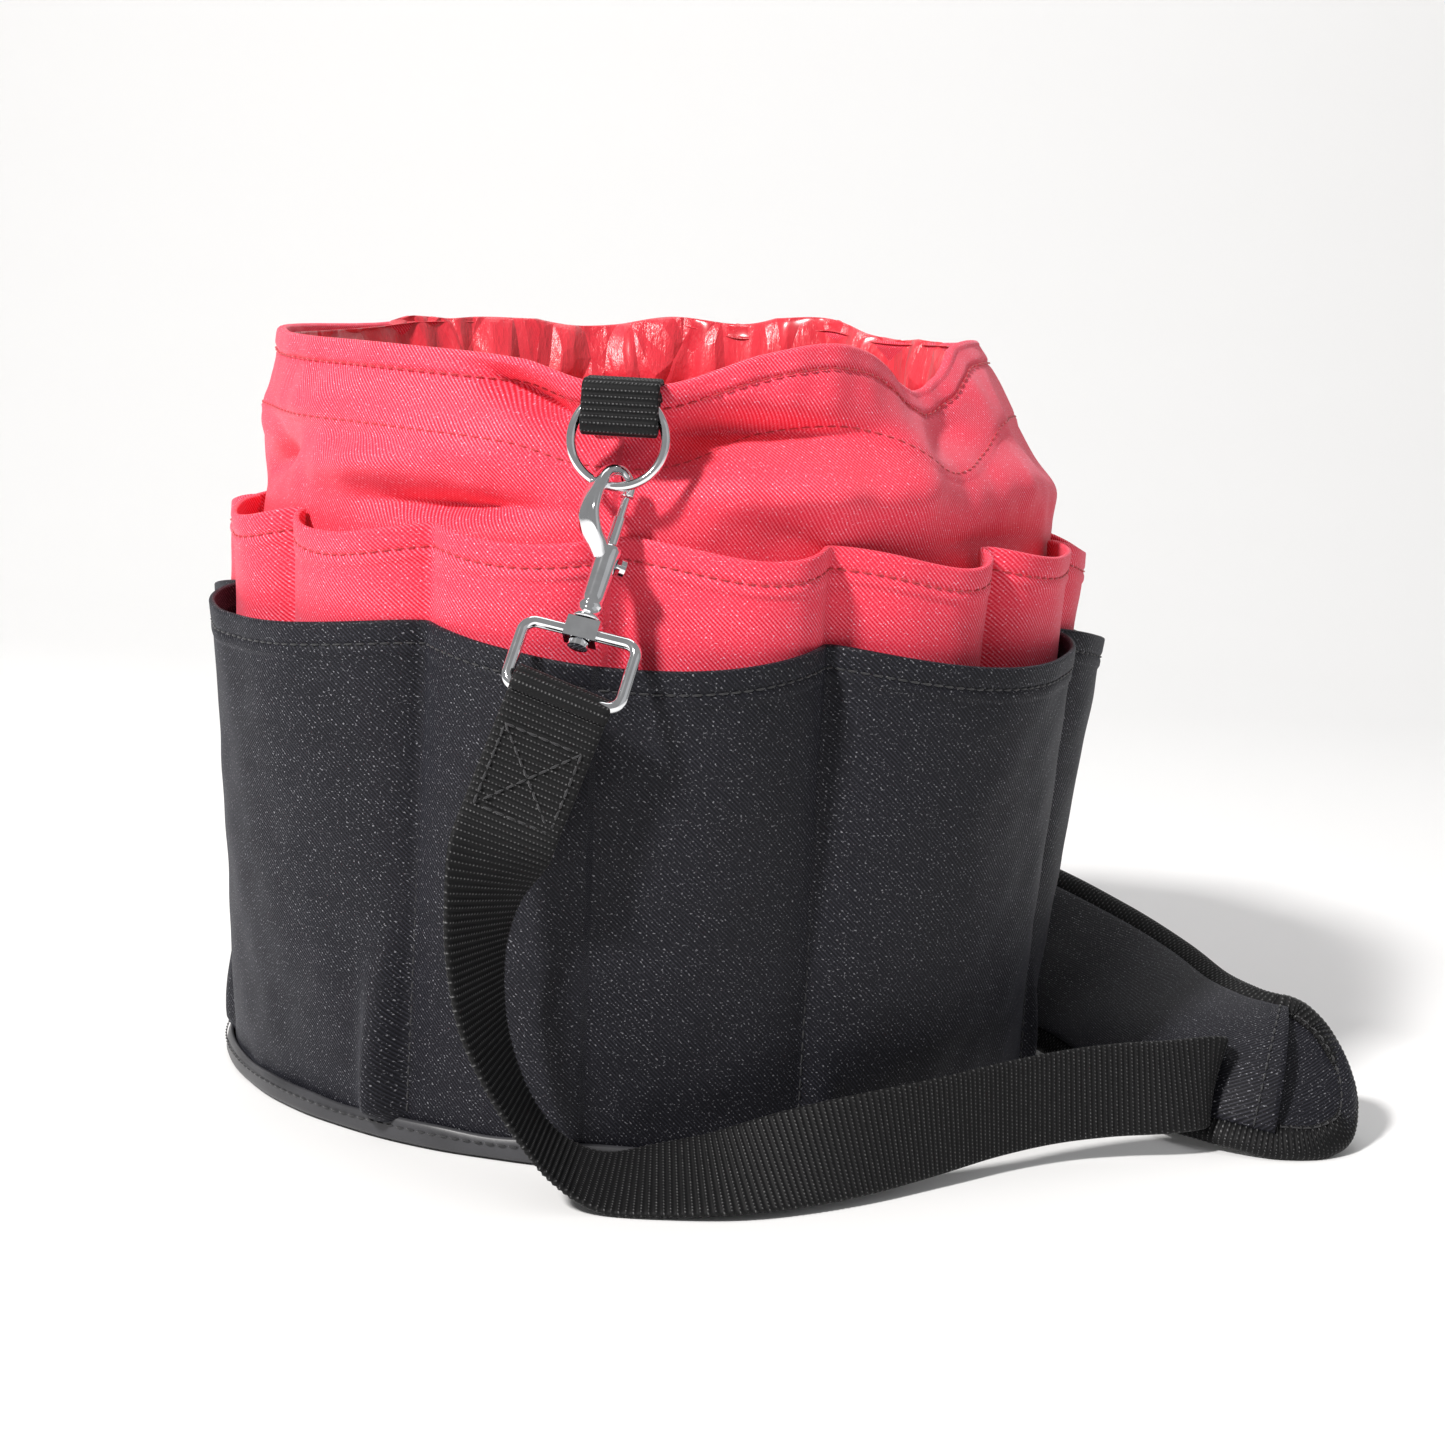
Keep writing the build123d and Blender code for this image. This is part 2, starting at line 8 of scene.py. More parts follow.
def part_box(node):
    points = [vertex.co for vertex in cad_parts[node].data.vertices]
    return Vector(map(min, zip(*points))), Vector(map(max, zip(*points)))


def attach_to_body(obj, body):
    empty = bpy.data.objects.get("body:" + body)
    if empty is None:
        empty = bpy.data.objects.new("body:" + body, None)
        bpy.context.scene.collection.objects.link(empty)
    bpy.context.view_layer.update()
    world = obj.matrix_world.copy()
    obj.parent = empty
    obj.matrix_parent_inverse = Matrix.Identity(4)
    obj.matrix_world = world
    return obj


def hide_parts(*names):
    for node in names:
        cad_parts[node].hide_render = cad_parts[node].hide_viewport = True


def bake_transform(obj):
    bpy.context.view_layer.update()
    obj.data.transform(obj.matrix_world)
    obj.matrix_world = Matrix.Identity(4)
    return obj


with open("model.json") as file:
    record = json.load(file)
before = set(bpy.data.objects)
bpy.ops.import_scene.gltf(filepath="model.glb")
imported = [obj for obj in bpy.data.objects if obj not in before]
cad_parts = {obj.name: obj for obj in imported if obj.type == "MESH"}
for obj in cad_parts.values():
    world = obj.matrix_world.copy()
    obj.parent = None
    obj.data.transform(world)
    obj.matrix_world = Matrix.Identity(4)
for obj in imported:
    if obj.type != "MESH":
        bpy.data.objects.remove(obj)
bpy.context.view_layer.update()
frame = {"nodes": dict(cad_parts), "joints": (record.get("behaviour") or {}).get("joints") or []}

MM = 0.001
TAU = 2 * math.pi

# Sizes in millimetres, most of them the CAD's own
DRUM_R = 111.6
LINING_INSET, LINING_FLOOR_Z = 2.6, 7.5
RED_COUNT, RED_SEAM_R, RED_BULGE, RED_RIM_Z = 14, 112.5, 10.0, 156.0
BLACK_COUNT, BLACK_SEAM_R, BLACK_BULGE, BLACK_RIM_Z = 7, 114.4, 17.5, 130.0
CLOTH_FOOT_Z = 4.0
COLLAR_FOOT_Z = 160.0  # the drum is firm below and leans and folds above
LIP_DOWN, HEM_DOWN = 4.6, 19.0  # the two rows of stitches below the top
POCKET_HEM_DOWN = 5.0
POCKET_TURN = 1.7  # degrees the pockets sit round from the tabs
STRAP_W, STRAP_T = 24.5, 1.5
RIB_PITCH, RIB_DEPTH = 1.6, 0.26
PAD_HALF_W = 26.0
TAB_W = 19.0
EYE_DROP = 20.2  # from the hook's flange down to the middle of the eye's lower bar
BAR_LOOP_R = 2.7
SEWN_LEN = 34.0
RING_TOP = (114.2, 192.7)  # the middle of the wire at the ring's top: out from the axis, and up
HOOK_LEAN = math.radians(30.0)
CLAW_PLAN = math.radians(225.0)  # the way the claw bulges, in the hook's plan
HOOK_ROLL = {"front": math.radians(11.0), "rear": math.radians(-8.0)}
END_ROLL = {"front": math.radians(19.0), "rear": math.radians(-11.0)}
WEAVE_PITCH = 1.05  # from rib to rib of the cloth
COLUMNS = 504  # points round the drum
AZ = np.arange(0, 360, 360 / COLUMNS)
STITCH_STEPS = 1441  # points round a closed row of stitches

# The camera, with its place in metres, and the lights
CAMERA_DOWN, CAMERA_TILT, CAMERA_TURN = math.radians(7.8), math.radians(3.2), math.radians(3.6)
CAMERA_PLACE = (0.0216, -0.746, 0.201)
LENS_MM, SENSOR_MM = 64.8, 36.0
WORLD_STRENGTH = 0.30
LIGHT_AIM = (0, 0, 0.1)
FLOOR_DROP = 0.25  # the stage floor lies this far below the origin


# ---- Small maths ----
def smoothstep(low, high, x):
    t = np.clip((x - low) / (high - low), 0.0, 1.0)
    return t * t * (3 - 2 * t)


def bump(x, centre, width):
    return np.exp(-(((x - centre) / width) ** 2))


def wrap_deg(a):
    """An angle in degrees brought to -180..180."""
    return (a + 180.0) % 360.0 - 180.0


def arc_mm(azimuth, radius):
    """Millimetres round a circle to an azimuth in degrees."""
    return azimuth * radius * math.pi / 180


def round_curve(keys, azimuth):
    """A smooth periodic curve through (azimuth in degrees, value) keys."""
    keys = sorted(keys)
    a = np.array([k[0] for k in keys], float)
    v = np.array([k[1] for k in keys], float)
    a = np.concatenate([a[-2:] - 360, a, a[:2] + 360])
    v = np.concatenate([v[-2:], v, v[:2]])
    x = wrap_deg(np.asarray(azimuth, float))
    i = np.clip(np.searchsorted(a, x) - 1, 1, len(a) - 3)
    t = (x - a[i]) / (a[i + 1] - a[i])
    m0 = (v[i + 1] - v[i - 1]) / (a[i + 1] - a[i - 1]) * (a[i + 1] - a[i])
    m1 = (v[i + 2] - v[i]) / (a[i + 2] - a[i]) * (a[i + 1] - a[i])
    return (
        (2 * t**3 - 3 * t**2 + 1) * v[i] + (t**3 - 2 * t**2 + t) * m0
        + (3 * t**2 - 2 * t**3) * v[i + 1] + (t**3 - t**2) * m1
    )


def crumple(u, v, cell, seed, wrap=None, span=None):
    """Distance to the nearest of scattered seeds: sharp creases between soft facets, 0 to about 1."""
    rng = np.random.default_rng(seed)
    u0, u1 = (0.0, wrap) if wrap else (float(u.min()), float(u.max()))
    v0, v1 = span or (float(v.min()), float(v.max()))
    count = max(4, int((u1 - u0) * (v1 - v0) / cell**2))
    seeds = np.c_[rng.uniform(u0, u1, count), rng.uniform(v0, v1, count)]
    if wrap:
        seeds = np.vstack([seeds, seeds + (wrap, 0), seeds - (wrap, 0)])
    best = np.full(u.shape, 1e9)
    for su, sv in seeds:
        np.minimum(best, np.hypot(u - su, (v - sv) * 0.6), out=best)
    return best / cell


def smooth_curve(points, steps):
    """Points along a smooth curve through the given ones, with so many steps to each span."""
    ends = np.vstack([2 * points[0] - points[1], points, 2 * points[-1] - points[-2]])
    dense = []
    for i in range(1, len(ends) - 2):
        a, b, c, d = ends[i - 1:i + 3]
        for t in np.linspace(0, 1, steps, endpoint=False):
            dense.append(0.5 * (2 * b + (c - a) * t + (2 * a - 5 * b + 4 * c - d) * t**2
                                + (3 * b - a - 3 * c + d) * t**3))
    dense.append(points[-1])
    return np.array(dense)


def waves(u, v, seed, low=0.004, high=0.03):
    """A gentle sum of sine waves over millimetre coordinates, about -1 to 1."""
    count = 9
    rng = np.random.default_rng(seed)
    total = np.zeros(np.broadcast(u, v).shape)
    for _ in range(count):
        k = rng.uniform(low, high) * TAU
        heading = rng.uniform(0, TAU)
        total += np.sin(k * (u * math.cos(heading) + v * math.sin(heading)) + rng.uniform(0, TAU))
    return total / math.sqrt(count)


# ---- Meshes ----
def make_object(name, verts, faces, materials, cloth=None):
    """A smooth-shaded mesh object from millimetre points, with its cloth coordinates in millimetres."""
    mesh = bpy.data.meshes.new(name)
    mesh.from_pydata((np.asarray(verts) * MM).tolist(), [], faces)
    for material in materials:
        mesh.materials.append(material)
    if cloth is not None:
        layer = mesh.attributes.new("cloth_mm", "FLOAT_VECTOR", "POINT")
        layer.data.foreach_set("vector", np.asarray(cloth, np.float32).ravel())
    mesh.polygons.foreach_set("use_smooth", [True] * len(mesh.polygons))
    mesh.update()
    obj = bpy.data.objects.new(name, mesh)
    bpy.context.scene.collection.objects.link(obj)
    return obj


def grid_faces(rows, cols, closed_rows, closed_cols):
    """Quads between neighbouring points of a rows by cols grid."""
    r = np.arange(rows if closed_rows else rows - 1)
    c = np.arange(cols if closed_cols else cols - 1)
    rr, cc = np.meshgrid(r, c, indexing="ij")
    r2, c2 = (rr + 1) % rows, (cc + 1) % cols
    quads = np.stack([rr * cols + cc, rr * cols + c2, r2 * cols + c2, r2 * cols + cc], -1)
    return quads.reshape(-1, 4).tolist()


def grid_object(name, points, materials, cloth=None, closed_rows=False, closed_cols=True, caps=False):
    """An object from a (rows, cols, 3) grid of points."""
    rows, cols = points.shape[:2]
    faces = grid_faces(rows, cols, closed_rows, closed_cols)
    if caps:
        faces.append(list(range(cols))[::-1])
        faces.append([(rows - 1) * cols + c for c in range(cols)])
    flat = None if cloth is None else cloth.reshape(-1, 3)
    return make_object(name, points.reshape(-1, 3), faces, materials, flat)


def attach(piece, body, slot_name, *replaced):
    """The body a piece rides on, its material's slot, which is not used, and the CAD nodes that it stands
    for.
    """
    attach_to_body(piece, body)
    if replaced:
        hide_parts(*replaced)


def unit(v):
    """Vectors brought to length one."""
    return v / np.maximum(np.linalg.norm(v, axis=-1, keepdims=True), 1e-9)


def thread_object(name, paths, material, length=2.5, gap=0.7, radius=0.24):
    """Stitches: short rounded threads along (points, normals) paths, lying on the cloth."""
    verts, faces = [], []
    sides, profile = 6, ((0.0, 0.25), (0.16, 0.9), (0.5, 1.15), (0.84, 0.9), (1.0, 0.25))
    for points, normals in paths:
        steps = np.r_[0, np.cumsum(np.linalg.norm(np.diff(points, axis=0), axis=1))]
        place = 0.0
        while place + length < steps[-1]:
            ends = [np.array([np.interp(s, steps, points[:, k]) for k in range(3)])
                    for s in (place, place + length)]
            n = unit(np.array([np.interp(place + length / 2, steps, normals[:, k]) for k in range(3)]))
            along = unit(ends[1] - ends[0])
            side = np.cross(along, n)
            base = len(verts)
            for share, size in profile:
                lift = radius * (1.1 * math.sin(math.pi * share) - 0.2)
                centre = ends[0] + (ends[1] - ends[0]) * share + n * lift
                for i in range(sides):
                    a = TAU * i / sides
                    verts.append(centre + (side * math.cos(a) + n * math.sin(a)) * radius * size)
            faces.extend([base + f for f in quad] for quad in grid_faces(len(profile), sides, False, True))
            faces.append([base + i for i in range(sides)][::-1])
            faces.append([base + (len(profile) - 1) * sides + i for i in range(sides)])
            place += length + gap
    return make_object(name, verts, faces, [material])


# ---- Materials ----
class Nodes:
    """A small helper that adds and links shader nodes."""

    def __init__(self, name):
        self.material = bpy.data.materials.new(name)
        self.material.use_nodes = True
        self.tree = self.material.node_tree
        self.shader = self.tree.nodes["Principled BSDF"]

    def add(self, kind, **inputs):
        node = self.tree.nodes.new(kind)
        for key, value in inputs.items():
            node.inputs[key].default_value = value
        return node

    def cracks(self, vector, scale):
        """How far each point is from the edges of scattered cells."""
        node = self.add("ShaderNodeTexVoronoi")
        node.feature = "DISTANCE_TO_EDGE"
        node.inputs["Scale"].default_value = scale
        self.link(vector, node.inputs["Vector"])
        return node.outputs["Distance"]

    def link(self, a, b):
        self.tree.links.new(a, b)

    def math(self, operation, a, b=None, c=None):
        node = self.tree.nodes.new("ShaderNodeMath")
        node.operation = operation
        for i, value in enumerate((a, b, c)):
            if value is None:
                continue
            if isinstance(value, (int, float)):
                node.inputs[i].default_value = value
            else:
                self.link(value, node.inputs[i])
        return node.outputs[0]

    def cloth(self):
        """The piece's own coordinates along and across the cloth, in millimetres."""
        source = self.add("ShaderNodeAttribute")
        source.attribute_name = "cloth_mm"
        split = self.add("ShaderNodeSeparateXYZ")
        self.link(source.outputs["Vector"], split.inputs[0])
        return split.outputs[0], split.outputs[1], source.outputs["Vector"]

    def noise(self, vector, scale, detail=3.0, rough=0.55):
        node = self.add("ShaderNodeTexNoise", Scale=scale, Detail=detail, Roughness=rough)
        self.link(vector, node.inputs["Vector"])
        return node.outputs["Fac"]

    def ramp(self, factor, stops):
        node = self.add("ShaderNodeValToRGB")
        while len(node.color_ramp.elements) < len(stops):
            node.color_ramp.elements.new(0.5)
        for element, (place, colour) in zip(node.color_ramp.elements, stops):
            element.position = place
            element.color = (*colour, 1.0)
        self.link(factor, node.inputs[0])
        return node.outputs[0]

    def mix(self, factor, a, b):
        """A blend of two colours: sockets 0, 6 and 7 are the factor and the two colours."""
        node = self.add("ShaderNodeMix")
        node.data_type = "RGBA"
        for value, socket in ((factor, 0), (a, 6), (b, 7)):
            if isinstance(value, (int, float)):
                node.inputs[socket].default_value = value
            elif isinstance(value, tuple):
                node.inputs[socket].default_value = (*value, 1.0)
            else:
                self.link(value, node.inputs[socket])
        return node.outputs[2]

    def bump(self, height, strength, distance, normal=None):
        node = self.add("ShaderNodeBump", Strength=strength, Distance=distance)
        self.link(height, node.inputs["Height"])
        if normal is not None:
            self.link(normal, node.inputs["Normal"])
        self.link(node.outputs[0], self.shader.inputs["Normal"])
        return node.outputs[0]

    def set(self, **values):
        for key, value in values.items():
            self.shader.inputs[key.replace("_", " ")].default_value = value


def woven(name, deep, mid, crown_highlight, pitch, sheen, sheen_tint, painted_glint_strength):
    """Coarse polyester: diagonal ribs of crossing yarns and uneven colour, with painted shade in the weave's
    hollows, a painted highlight on the yarn crowns and painted glints on them.
    """
    n = Nodes(name)
    u, v, both = n.cloth()
    k = TAU / pitch
    warp = n.math("SINE", n.math("MULTIPLY", u, k))
    weft = n.math("SINE", n.math("MULTIPLY", v, k))
    twill = n.math("SINE", n.math("MULTIPLY", n.math("ADD", u, n.math("MULTIPLY", v, 0.9)), k))
    crossing = n.math("MULTIPLY", warp, weft)
    weave = n.math("ADD", n.math("MULTIPLY", crossing, 0.14), n.math("MULTIPLY", twill, 0.32))
    height = n.math("ADD", weave, 0.5)
    glint_and_bump_noise = n.noise(both, 1.7, 1.0, 0.6)
    patch = n.noise(both, 0.035, 4.0)
    # Painted light: the colour runs from the deep one in the weave's hollows (painted shade) through the
    # cloth's own mid colour to the crown one on the yarn tops (painted highlight).
    colour = n.ramp(height, [(0.05, deep), (0.5, mid), (0.97, crown_highlight)])
    colour = n.mix(n.math("MULTIPLY", patch, 0.5), colour, deep)
    # Painted glints: bright specks on the yarn tops, where light catches them. The same noise also roughens
    # the bump.
    glint = n.math("SMOOTH_MIN", n.math("MULTIPLY", n.math("GREATER_THAN", glint_and_bump_noise, 0.66), height), 1.0, 0.1)
    colour = n.mix(n.math("MULTIPLY", glint, painted_glint_strength), colour, tuple(min(1.0, c * 2.2 + 0.22) for c in crown_highlight))
    n.link(colour, n.shader.inputs["Base Color"])
    rough = n.math("SUBTRACT", 0.72, n.math("MULTIPLY", height, 0.22))
    n.link(rough, n.shader.inputs["Roughness"])
    n.bump(n.math("ADD", height, n.math("MULTIPLY", glint_and_bump_noise, 0.6)), 0.55, 0.00022)
    n.set(Sheen_Weight=sheen, Sheen_Roughness=0.45, Sheen_Tint=(*sheen_tint, 1.0), Specular_IOR_Level=0.22)
    return n.material


def taffeta(name):
    """The thin coated lining: tight, shiny and finely creased."""
    n = Nodes(name)
    u, v, both = n.cloth()
    fine = n.math("MULTIPLY", n.math("SINE", n.math("MULTIPLY", u, TAU / 0.5)),
                  n.math("SINE", n.math("MULTIPLY", v, TAU / 0.5)))
    line = n.math("MINIMUM", n.cracks(both, 0.075), 0.30)
    soft = n.noise(both, 0.09, 5.0, 0.6)
    # Painted light: the colour follows the same noise as the bump, lighter and pinker on the raised parts of
    # the creases (painted highlight) and darker in the hollows (painted shade).
    n.link(n.ramp(soft, [(0.25, (0.62, 0.012, 0.03)), (0.6, (0.86, 0.035, 0.06)), (0.9, (0.95, 0.09, 0.12))]),
           n.shader.inputs["Base Color"])
    n.link(n.math("ADD", 0.20, n.math("MULTIPLY", soft, 0.22)), n.shader.inputs["Roughness"])
    first = n.bump(n.math("ADD", n.math("MULTIPLY", line, 3.0), soft), 0.9, 0.0022)
    n.bump(fine, 0.25, 0.00005, first)
    n.set(Coat_Weight=0.35, Coat_Roughness=0.18, Specular_IOR_Level=0.6, Sheen_Weight=0.2)
    return n.material


def webbing(name, tone, pale):
    """Ribbed polyester webbing: crossways cords, with a painted highlight on the yarn crowns in rows, where
    light catches the ribs.
    """
    n = Nodes(name)
    u, v, both = n.cloth()
    rib = n.math("COSINE", n.math("MULTIPLY", u, TAU / RIB_PITCH))
    yarn = n.math("COSINE", n.math("MULTIPLY", n.math("ADD", v, n.math("MULTIPLY", u, 0.3)), TAU / 0.95))
    crowns = n.math("ADD", n.math("MULTIPLY", yarn, 0.35), 0.65)
    dots = n.math("MULTIPLY", n.math("MAXIMUM", rib, 0.0), crowns)
    uneven = n.noise(both, 0.5, 3.0)
    # Painted highlight: this factor takes the colour to the pale one on the rib crowns, where light catches
    # them; elsewhere the webbing keeps its black.
    painted_rib_highlight = n.math("MULTIPLY", n.math("POWER", dots, 2.0), n.math("ADD", uneven, 0.1))
    n.link(n.ramp(painted_rib_highlight, [(0.0, tone), (0.3, tuple(c * 2 for c in tone)), (0.75, pale)]),
           n.shader.inputs["Base Color"])
    n.link(n.math("SUBTRACT", 0.66, n.math("MULTIPLY", dots, 0.25)), n.shader.inputs["Roughness"])
    n.bump(n.math("ADD", dots, n.math("MULTIPLY", uneven, 0.3)), 0.6, 0.00025)
    n.set(Sheen_Weight=0.05, Sheen_Roughness=0.4, Specular_IOR_Level=0.25)
    return n.material


def chrome(name, tone, rough):
    """Plated metal: bright, with faint polishing marks, haze and a slight ripple."""
    n = Nodes(name)
    place = n.add("ShaderNodeTexCoord").outputs["Object"]
    haze = n.noise(place, 260.0, 4.0)
    ripple = n.noise(place, 700.0, 2.0)
    marks = n.cracks(place, 900.0)
    n.link(n.ramp(haze, [(0.3, tuple(c * 0.86 for c in tone)), (0.7, tone)]), n.shader.inputs["Base Color"])
    n.link(n.math("ADD", rough, n.math("MULTIPLY", haze, rough)), n.shader.inputs["Roughness"])
    n.bump(n.math("ADD", ripple, n.math("MULTIPLY", marks, 0.15)), 0.10, 0.00008)
    n.set(Metallic=1.0)
    return n.material


def plastic(name, tone, rough, grain_scale, grain):
    """Moulded plastic or vinyl: a fine grain, dull patches and a little wear."""
    n = Nodes(name)
    place = n.add("ShaderNodeTexCoord").outputs["Object"]
    grain_fac = n.noise(place, grain_scale, 2.0)
    patch = n.noise(place, 45.0, 4.0)
    n.link(n.ramp(patch, [(0.3, tuple(c * 0.75 for c in tone)), (0.75, tuple(c * 1.3 for c in tone))]),
           n.shader.inputs["Base Color"])
    n.link(n.math("ADD", rough, n.math("MULTIPLY", patch, 0.15)), n.shader.inputs["Roughness"])
    n.bump(grain_fac, grain, 0.0002)
    n.set(Specular_IOR_Level=0.5)
    return n.material


def thread(name, tone):
    """Sewing thread: two twisted plies."""
    n = Nodes(name)
    place = n.add("ShaderNodeTexCoord").outputs["Object"]
    twist = n.add("ShaderNodeTexWave", Scale=900.0, Distortion=1.5)
    n.link(place, twist.inputs["Vector"])
    # Painted shade: the colour is darker in the grooves between the plies, where the bump is low.
    n.link(n.ramp(twist.outputs["Fac"], [(0.1, tuple(c * 0.6 for c in tone)), (0.9, tone)]),
           n.shader.inputs["Base Color"])
    n.bump(twist.outputs["Fac"], 0.4, 0.0001)
    n.set(Roughness=0.55, Sheen_Weight=0.3)
    return n.material


# For each cloth: the painted shade colour of the weave's hollows, the cloth's own colour, the painted
# highlight colour of the yarn crowns, then the weave pitch, sheen, sheen tint and the strength of the painted
# glints.
RED = woven("red_polyester", (0.72, 0.008, 0.026), (0.92, 0.050, 0.100), (1.0, 0.25, 0.35), WEAVE_PITCH,
            0.22, (1.0, 0.55, 0.66), 0.6)
BLACK = woven("black_polyester", (0.0022, 0.0022, 0.0036), (0.0065, 0.0065, 0.0105), (0.030, 0.030, 0.042),
              WEAVE_PITCH, 0.05, (0.75, 0.78, 0.95), 1.0)
LINING = taffeta("red_taffeta")
# The webbing's own black, and the pale colour of the painted highlight on its rib crowns.
WEB = webbing("black_webbing", (0.003, 0.003, 0.0035), (0.17, 0.17, 0.17))
CHROME = chrome("polished_chrome", (0.86, 0.87, 0.89), 0.05)
STEEL = chrome("spring_steel", (0.50, 0.51, 0.53), 0.22)
VINYL = plastic("binding_vinyl", (0.045, 0.045, 0.05), 0.34, 900.0, 0.15)
BOARD = plastic("stiffener_board", (0.03, 0.03, 0.033), 0.55, 400.0, 0.3)
GLIDE = plastic("glide_plastic", (0.012, 0.012, 0.013), 0.30, 1500.0, 0.12)
RED_THREAD = thread("red_thread", (0.62, 0.012, 0.03))
BLACK_THREAD = thread("black_thread", (0.014, 0.014, 0.017))


# ---- The drum and its collar ----
# The collar's top and its radius there, each by azimuth in degrees
COLLAR_TOP = [
    (-174, 212.5), (-155, 207.5), (-135, 209.5), (-115, 206.5), (-95, 205), (-76, 203.5), (-55, 201.5),
    (-34, 200.5), (-15, 198.5), (-5.5, 194.3), (5.5, 194.3), (18, 202.5), (29, 206.5), (38, 204.5), (50, 196),
    (60, 199.5), (72, 208.5), (90, 210.5), (117, 210), (141, 210), (154, 212.5), (170, 208.5),
]
COLLAR_R = [
    (-174, 100), (-155, 100), (-135, 102), (-115, 104), (-95, 107), (-76, 109.5), (-34, 107.5), (-15, 106),
    (-5, 107), (5, 106.5), (18, 103), (29, 101), (38, 97), (52, 91), (72, 86), (90, 86), (117, 90), (154, 95),
]
# The collar's folds: azimuth, height, their spreads, slope of the fold's line and depth
FOLDS = [
    (16, 184.5, 13, 4.6, 0.10, -17), (9, 180, 6, 6, 0.5, -9), (27, 171, 15, 7, 0.05, 8.5),
    (-13, 191, 7.5, 3.8, -0.7, -14), (-3, 181, 6, 6, -0.3, -5), (-23, 178, 10, 5, -0.3, 3.4),
    (-38, 171.5, 12, 5.5, 0.12, 5.5), (-23, 163, 11, 3.6, 0.03, -10.5), (-64, 170, 8, 5, 0.45, -7),
    (-73, 180, 8, 7, -0.4, 3), (-50, 186, 10, 6, 0.3, 2.6), (43, 176, 7, 12, 0.3, 5.5),
    (54, 186, 7, 6, 0.5, -4), (68, 176, 12, 7, 0.2, 3.6), (86, 172, 16, 6, 0, 3),
    (58, 160, 12, 4, 0.1, -4), (108, 168, 14, 7, -0.2, 3.4), (128, 184, 12, 7, 0.3, -7),
    (150, 168, 16, 7, 0.1, 3.6), (172, 184, 13, 6.5, 0, -8), (-165, 168, 14, 6.5, -0.1, 3.6),
    (-142, 184, 12, 6, 0.3, -6.5), (-120, 168, 15, 7, 0, 3.6), (-98, 182, 9, 7, 0.4, -4.5),
    (-88, 168, 8, 8, 0, 1.6),
]


def collar_top(az):
    return round_curve(COLLAR_TOP, az)


def drum_radius(az, z):
    """The outside of the red drum: firm below, leaning and folded in the collar."""
    top = collar_top(az)
    rise = np.clip((z - COLLAR_FOOT_Z) / (top - COLLAR_FOOT_Z), 0.0, 1.15)
    lean = round_curve(COLLAR_R, az) - DRUM_R
    radius = DRUM_R + lean * rise**1.5
    for place, height, spread, tall, slope, depth in FOLDS:
        d = wrap_deg(az - place)
        off = np.abs(z - height - slope * d) / tall
        edge = 1.35 if depth < 0 else 2.0
        radius = radius + depth * bump(d, 0, spread) * np.exp(-(off**edge))
    u = arc_mm(az % 360, DRUM_R)
    soft = smoothstep(148, 168, z)
    facets = crumple(u, z * 1.5, 40, 9, TAU * DRUM_R, (200.0, 330.0))
    ripple = 0.6 * waves(u, z * 1.6, 11) + 0.3 * waves(u, z, 12, high=0.09)
    return radius + soft * (2.6 * facets - 1.3 + ripple)


def polar(radius, az, z):
    """Points at a radius, an azimuth in degrees from the front, and a height."""
    a = np.radians(az)
    return np.stack([radius * np.sin(a), -radius * np.cos(a), z + 0 * radius], -1)


def outward(points):
    """Level unit vectors square to a ring of points, pointing out."""
    run = np.roll(points, -1, axis=-2) - np.roll(points, 1, axis=-2)
    return unit(np.stack([run[..., 1], -run[..., 0], 0 * run[..., 0]], -1))


def cloth_coords(points, heights):
    """Millimetres round the drum and up it, in whole weave steps; the weave's join is at the front."""
    around = round(TAU * DRUM_R / (20 * WEAVE_PITCH)) * 20 * WEAVE_PITCH
    u = np.broadcast_to(AZ / 360 * around, points.shape[:2])
    return np.stack([u, heights, 0 * u], -1)


def rolled_lip(outer, z, lip_r, degrees):
    """A wall's rows and its cloth's heights, carried on over a round lip."""
    rows, heights = [outer], [z]
    side = outward(outer)[-1:]
    for a in np.radians(degrees):
        rows.append(outer[-1:] + side * (math.cos(a) - 1) * lip_r + np.array([0, 0, math.sin(a) * lip_r]))
        heights.append(z[-1:] + a * lip_r)
    return rows, heights


def build_wall():
    """One cloth from the base up the outside, over the rolled lip and a hem's depth down inside."""
    share = np.r_[np.linspace(0, 0.76, 30), np.linspace(0.765, 0.965, 44), np.linspace(0.97, 1, 12)]
    az, s = np.meshgrid(AZ, share)
    top = collar_top(az)
    z = CLOTH_FOOT_Z + (top - CLOTH_FOOT_Z) * s
    below = top - z
    radius = drum_radius(az, z)
    hem = smoothstep(21.5, 19.5, below)
    lip = smoothstep(5.2, 3.6, below)
    groove = bump(below, LIP_DOWN, 0.9) + 0.7 * bump(below, HEM_DOWN, 1.0)
    radius += 0.9 * hem + 0.5 * lip - 0.6 * groove
    outer = polar(radius, az, z)
    lip_r = 1.5
    rows, heights = rolled_lip(outer, z, lip_r, [30, 65, 90, 120, 155])
    for down in (1.0, 3.0, 4.4, 6.0, 9.0, 12.0, 15.0, 18.0, 19.5, 20.5):
        level = top[-1:] - down
        inner = drum_radius(AZ[None, :], level) + 1.4 - 2 * lip_r - 0.5 * bump(down, 4.4, 0.9)
        rows.append(polar(inner, AZ[None, :], level))
        heights.append(z[-1:] + 5 + down)
    points = np.concatenate(rows)
    wall = grid_object("drum_wall", points, [RED], cloth_coords(points, np.concatenate(heights)))
    wall.modifiers.new("cloth", "SOLIDIFY").thickness = 0.5 * MM
    wall.modifiers["cloth"].offset = -1
    attach(wall, "root", "red_fabric", "body_wall", "hem_band")


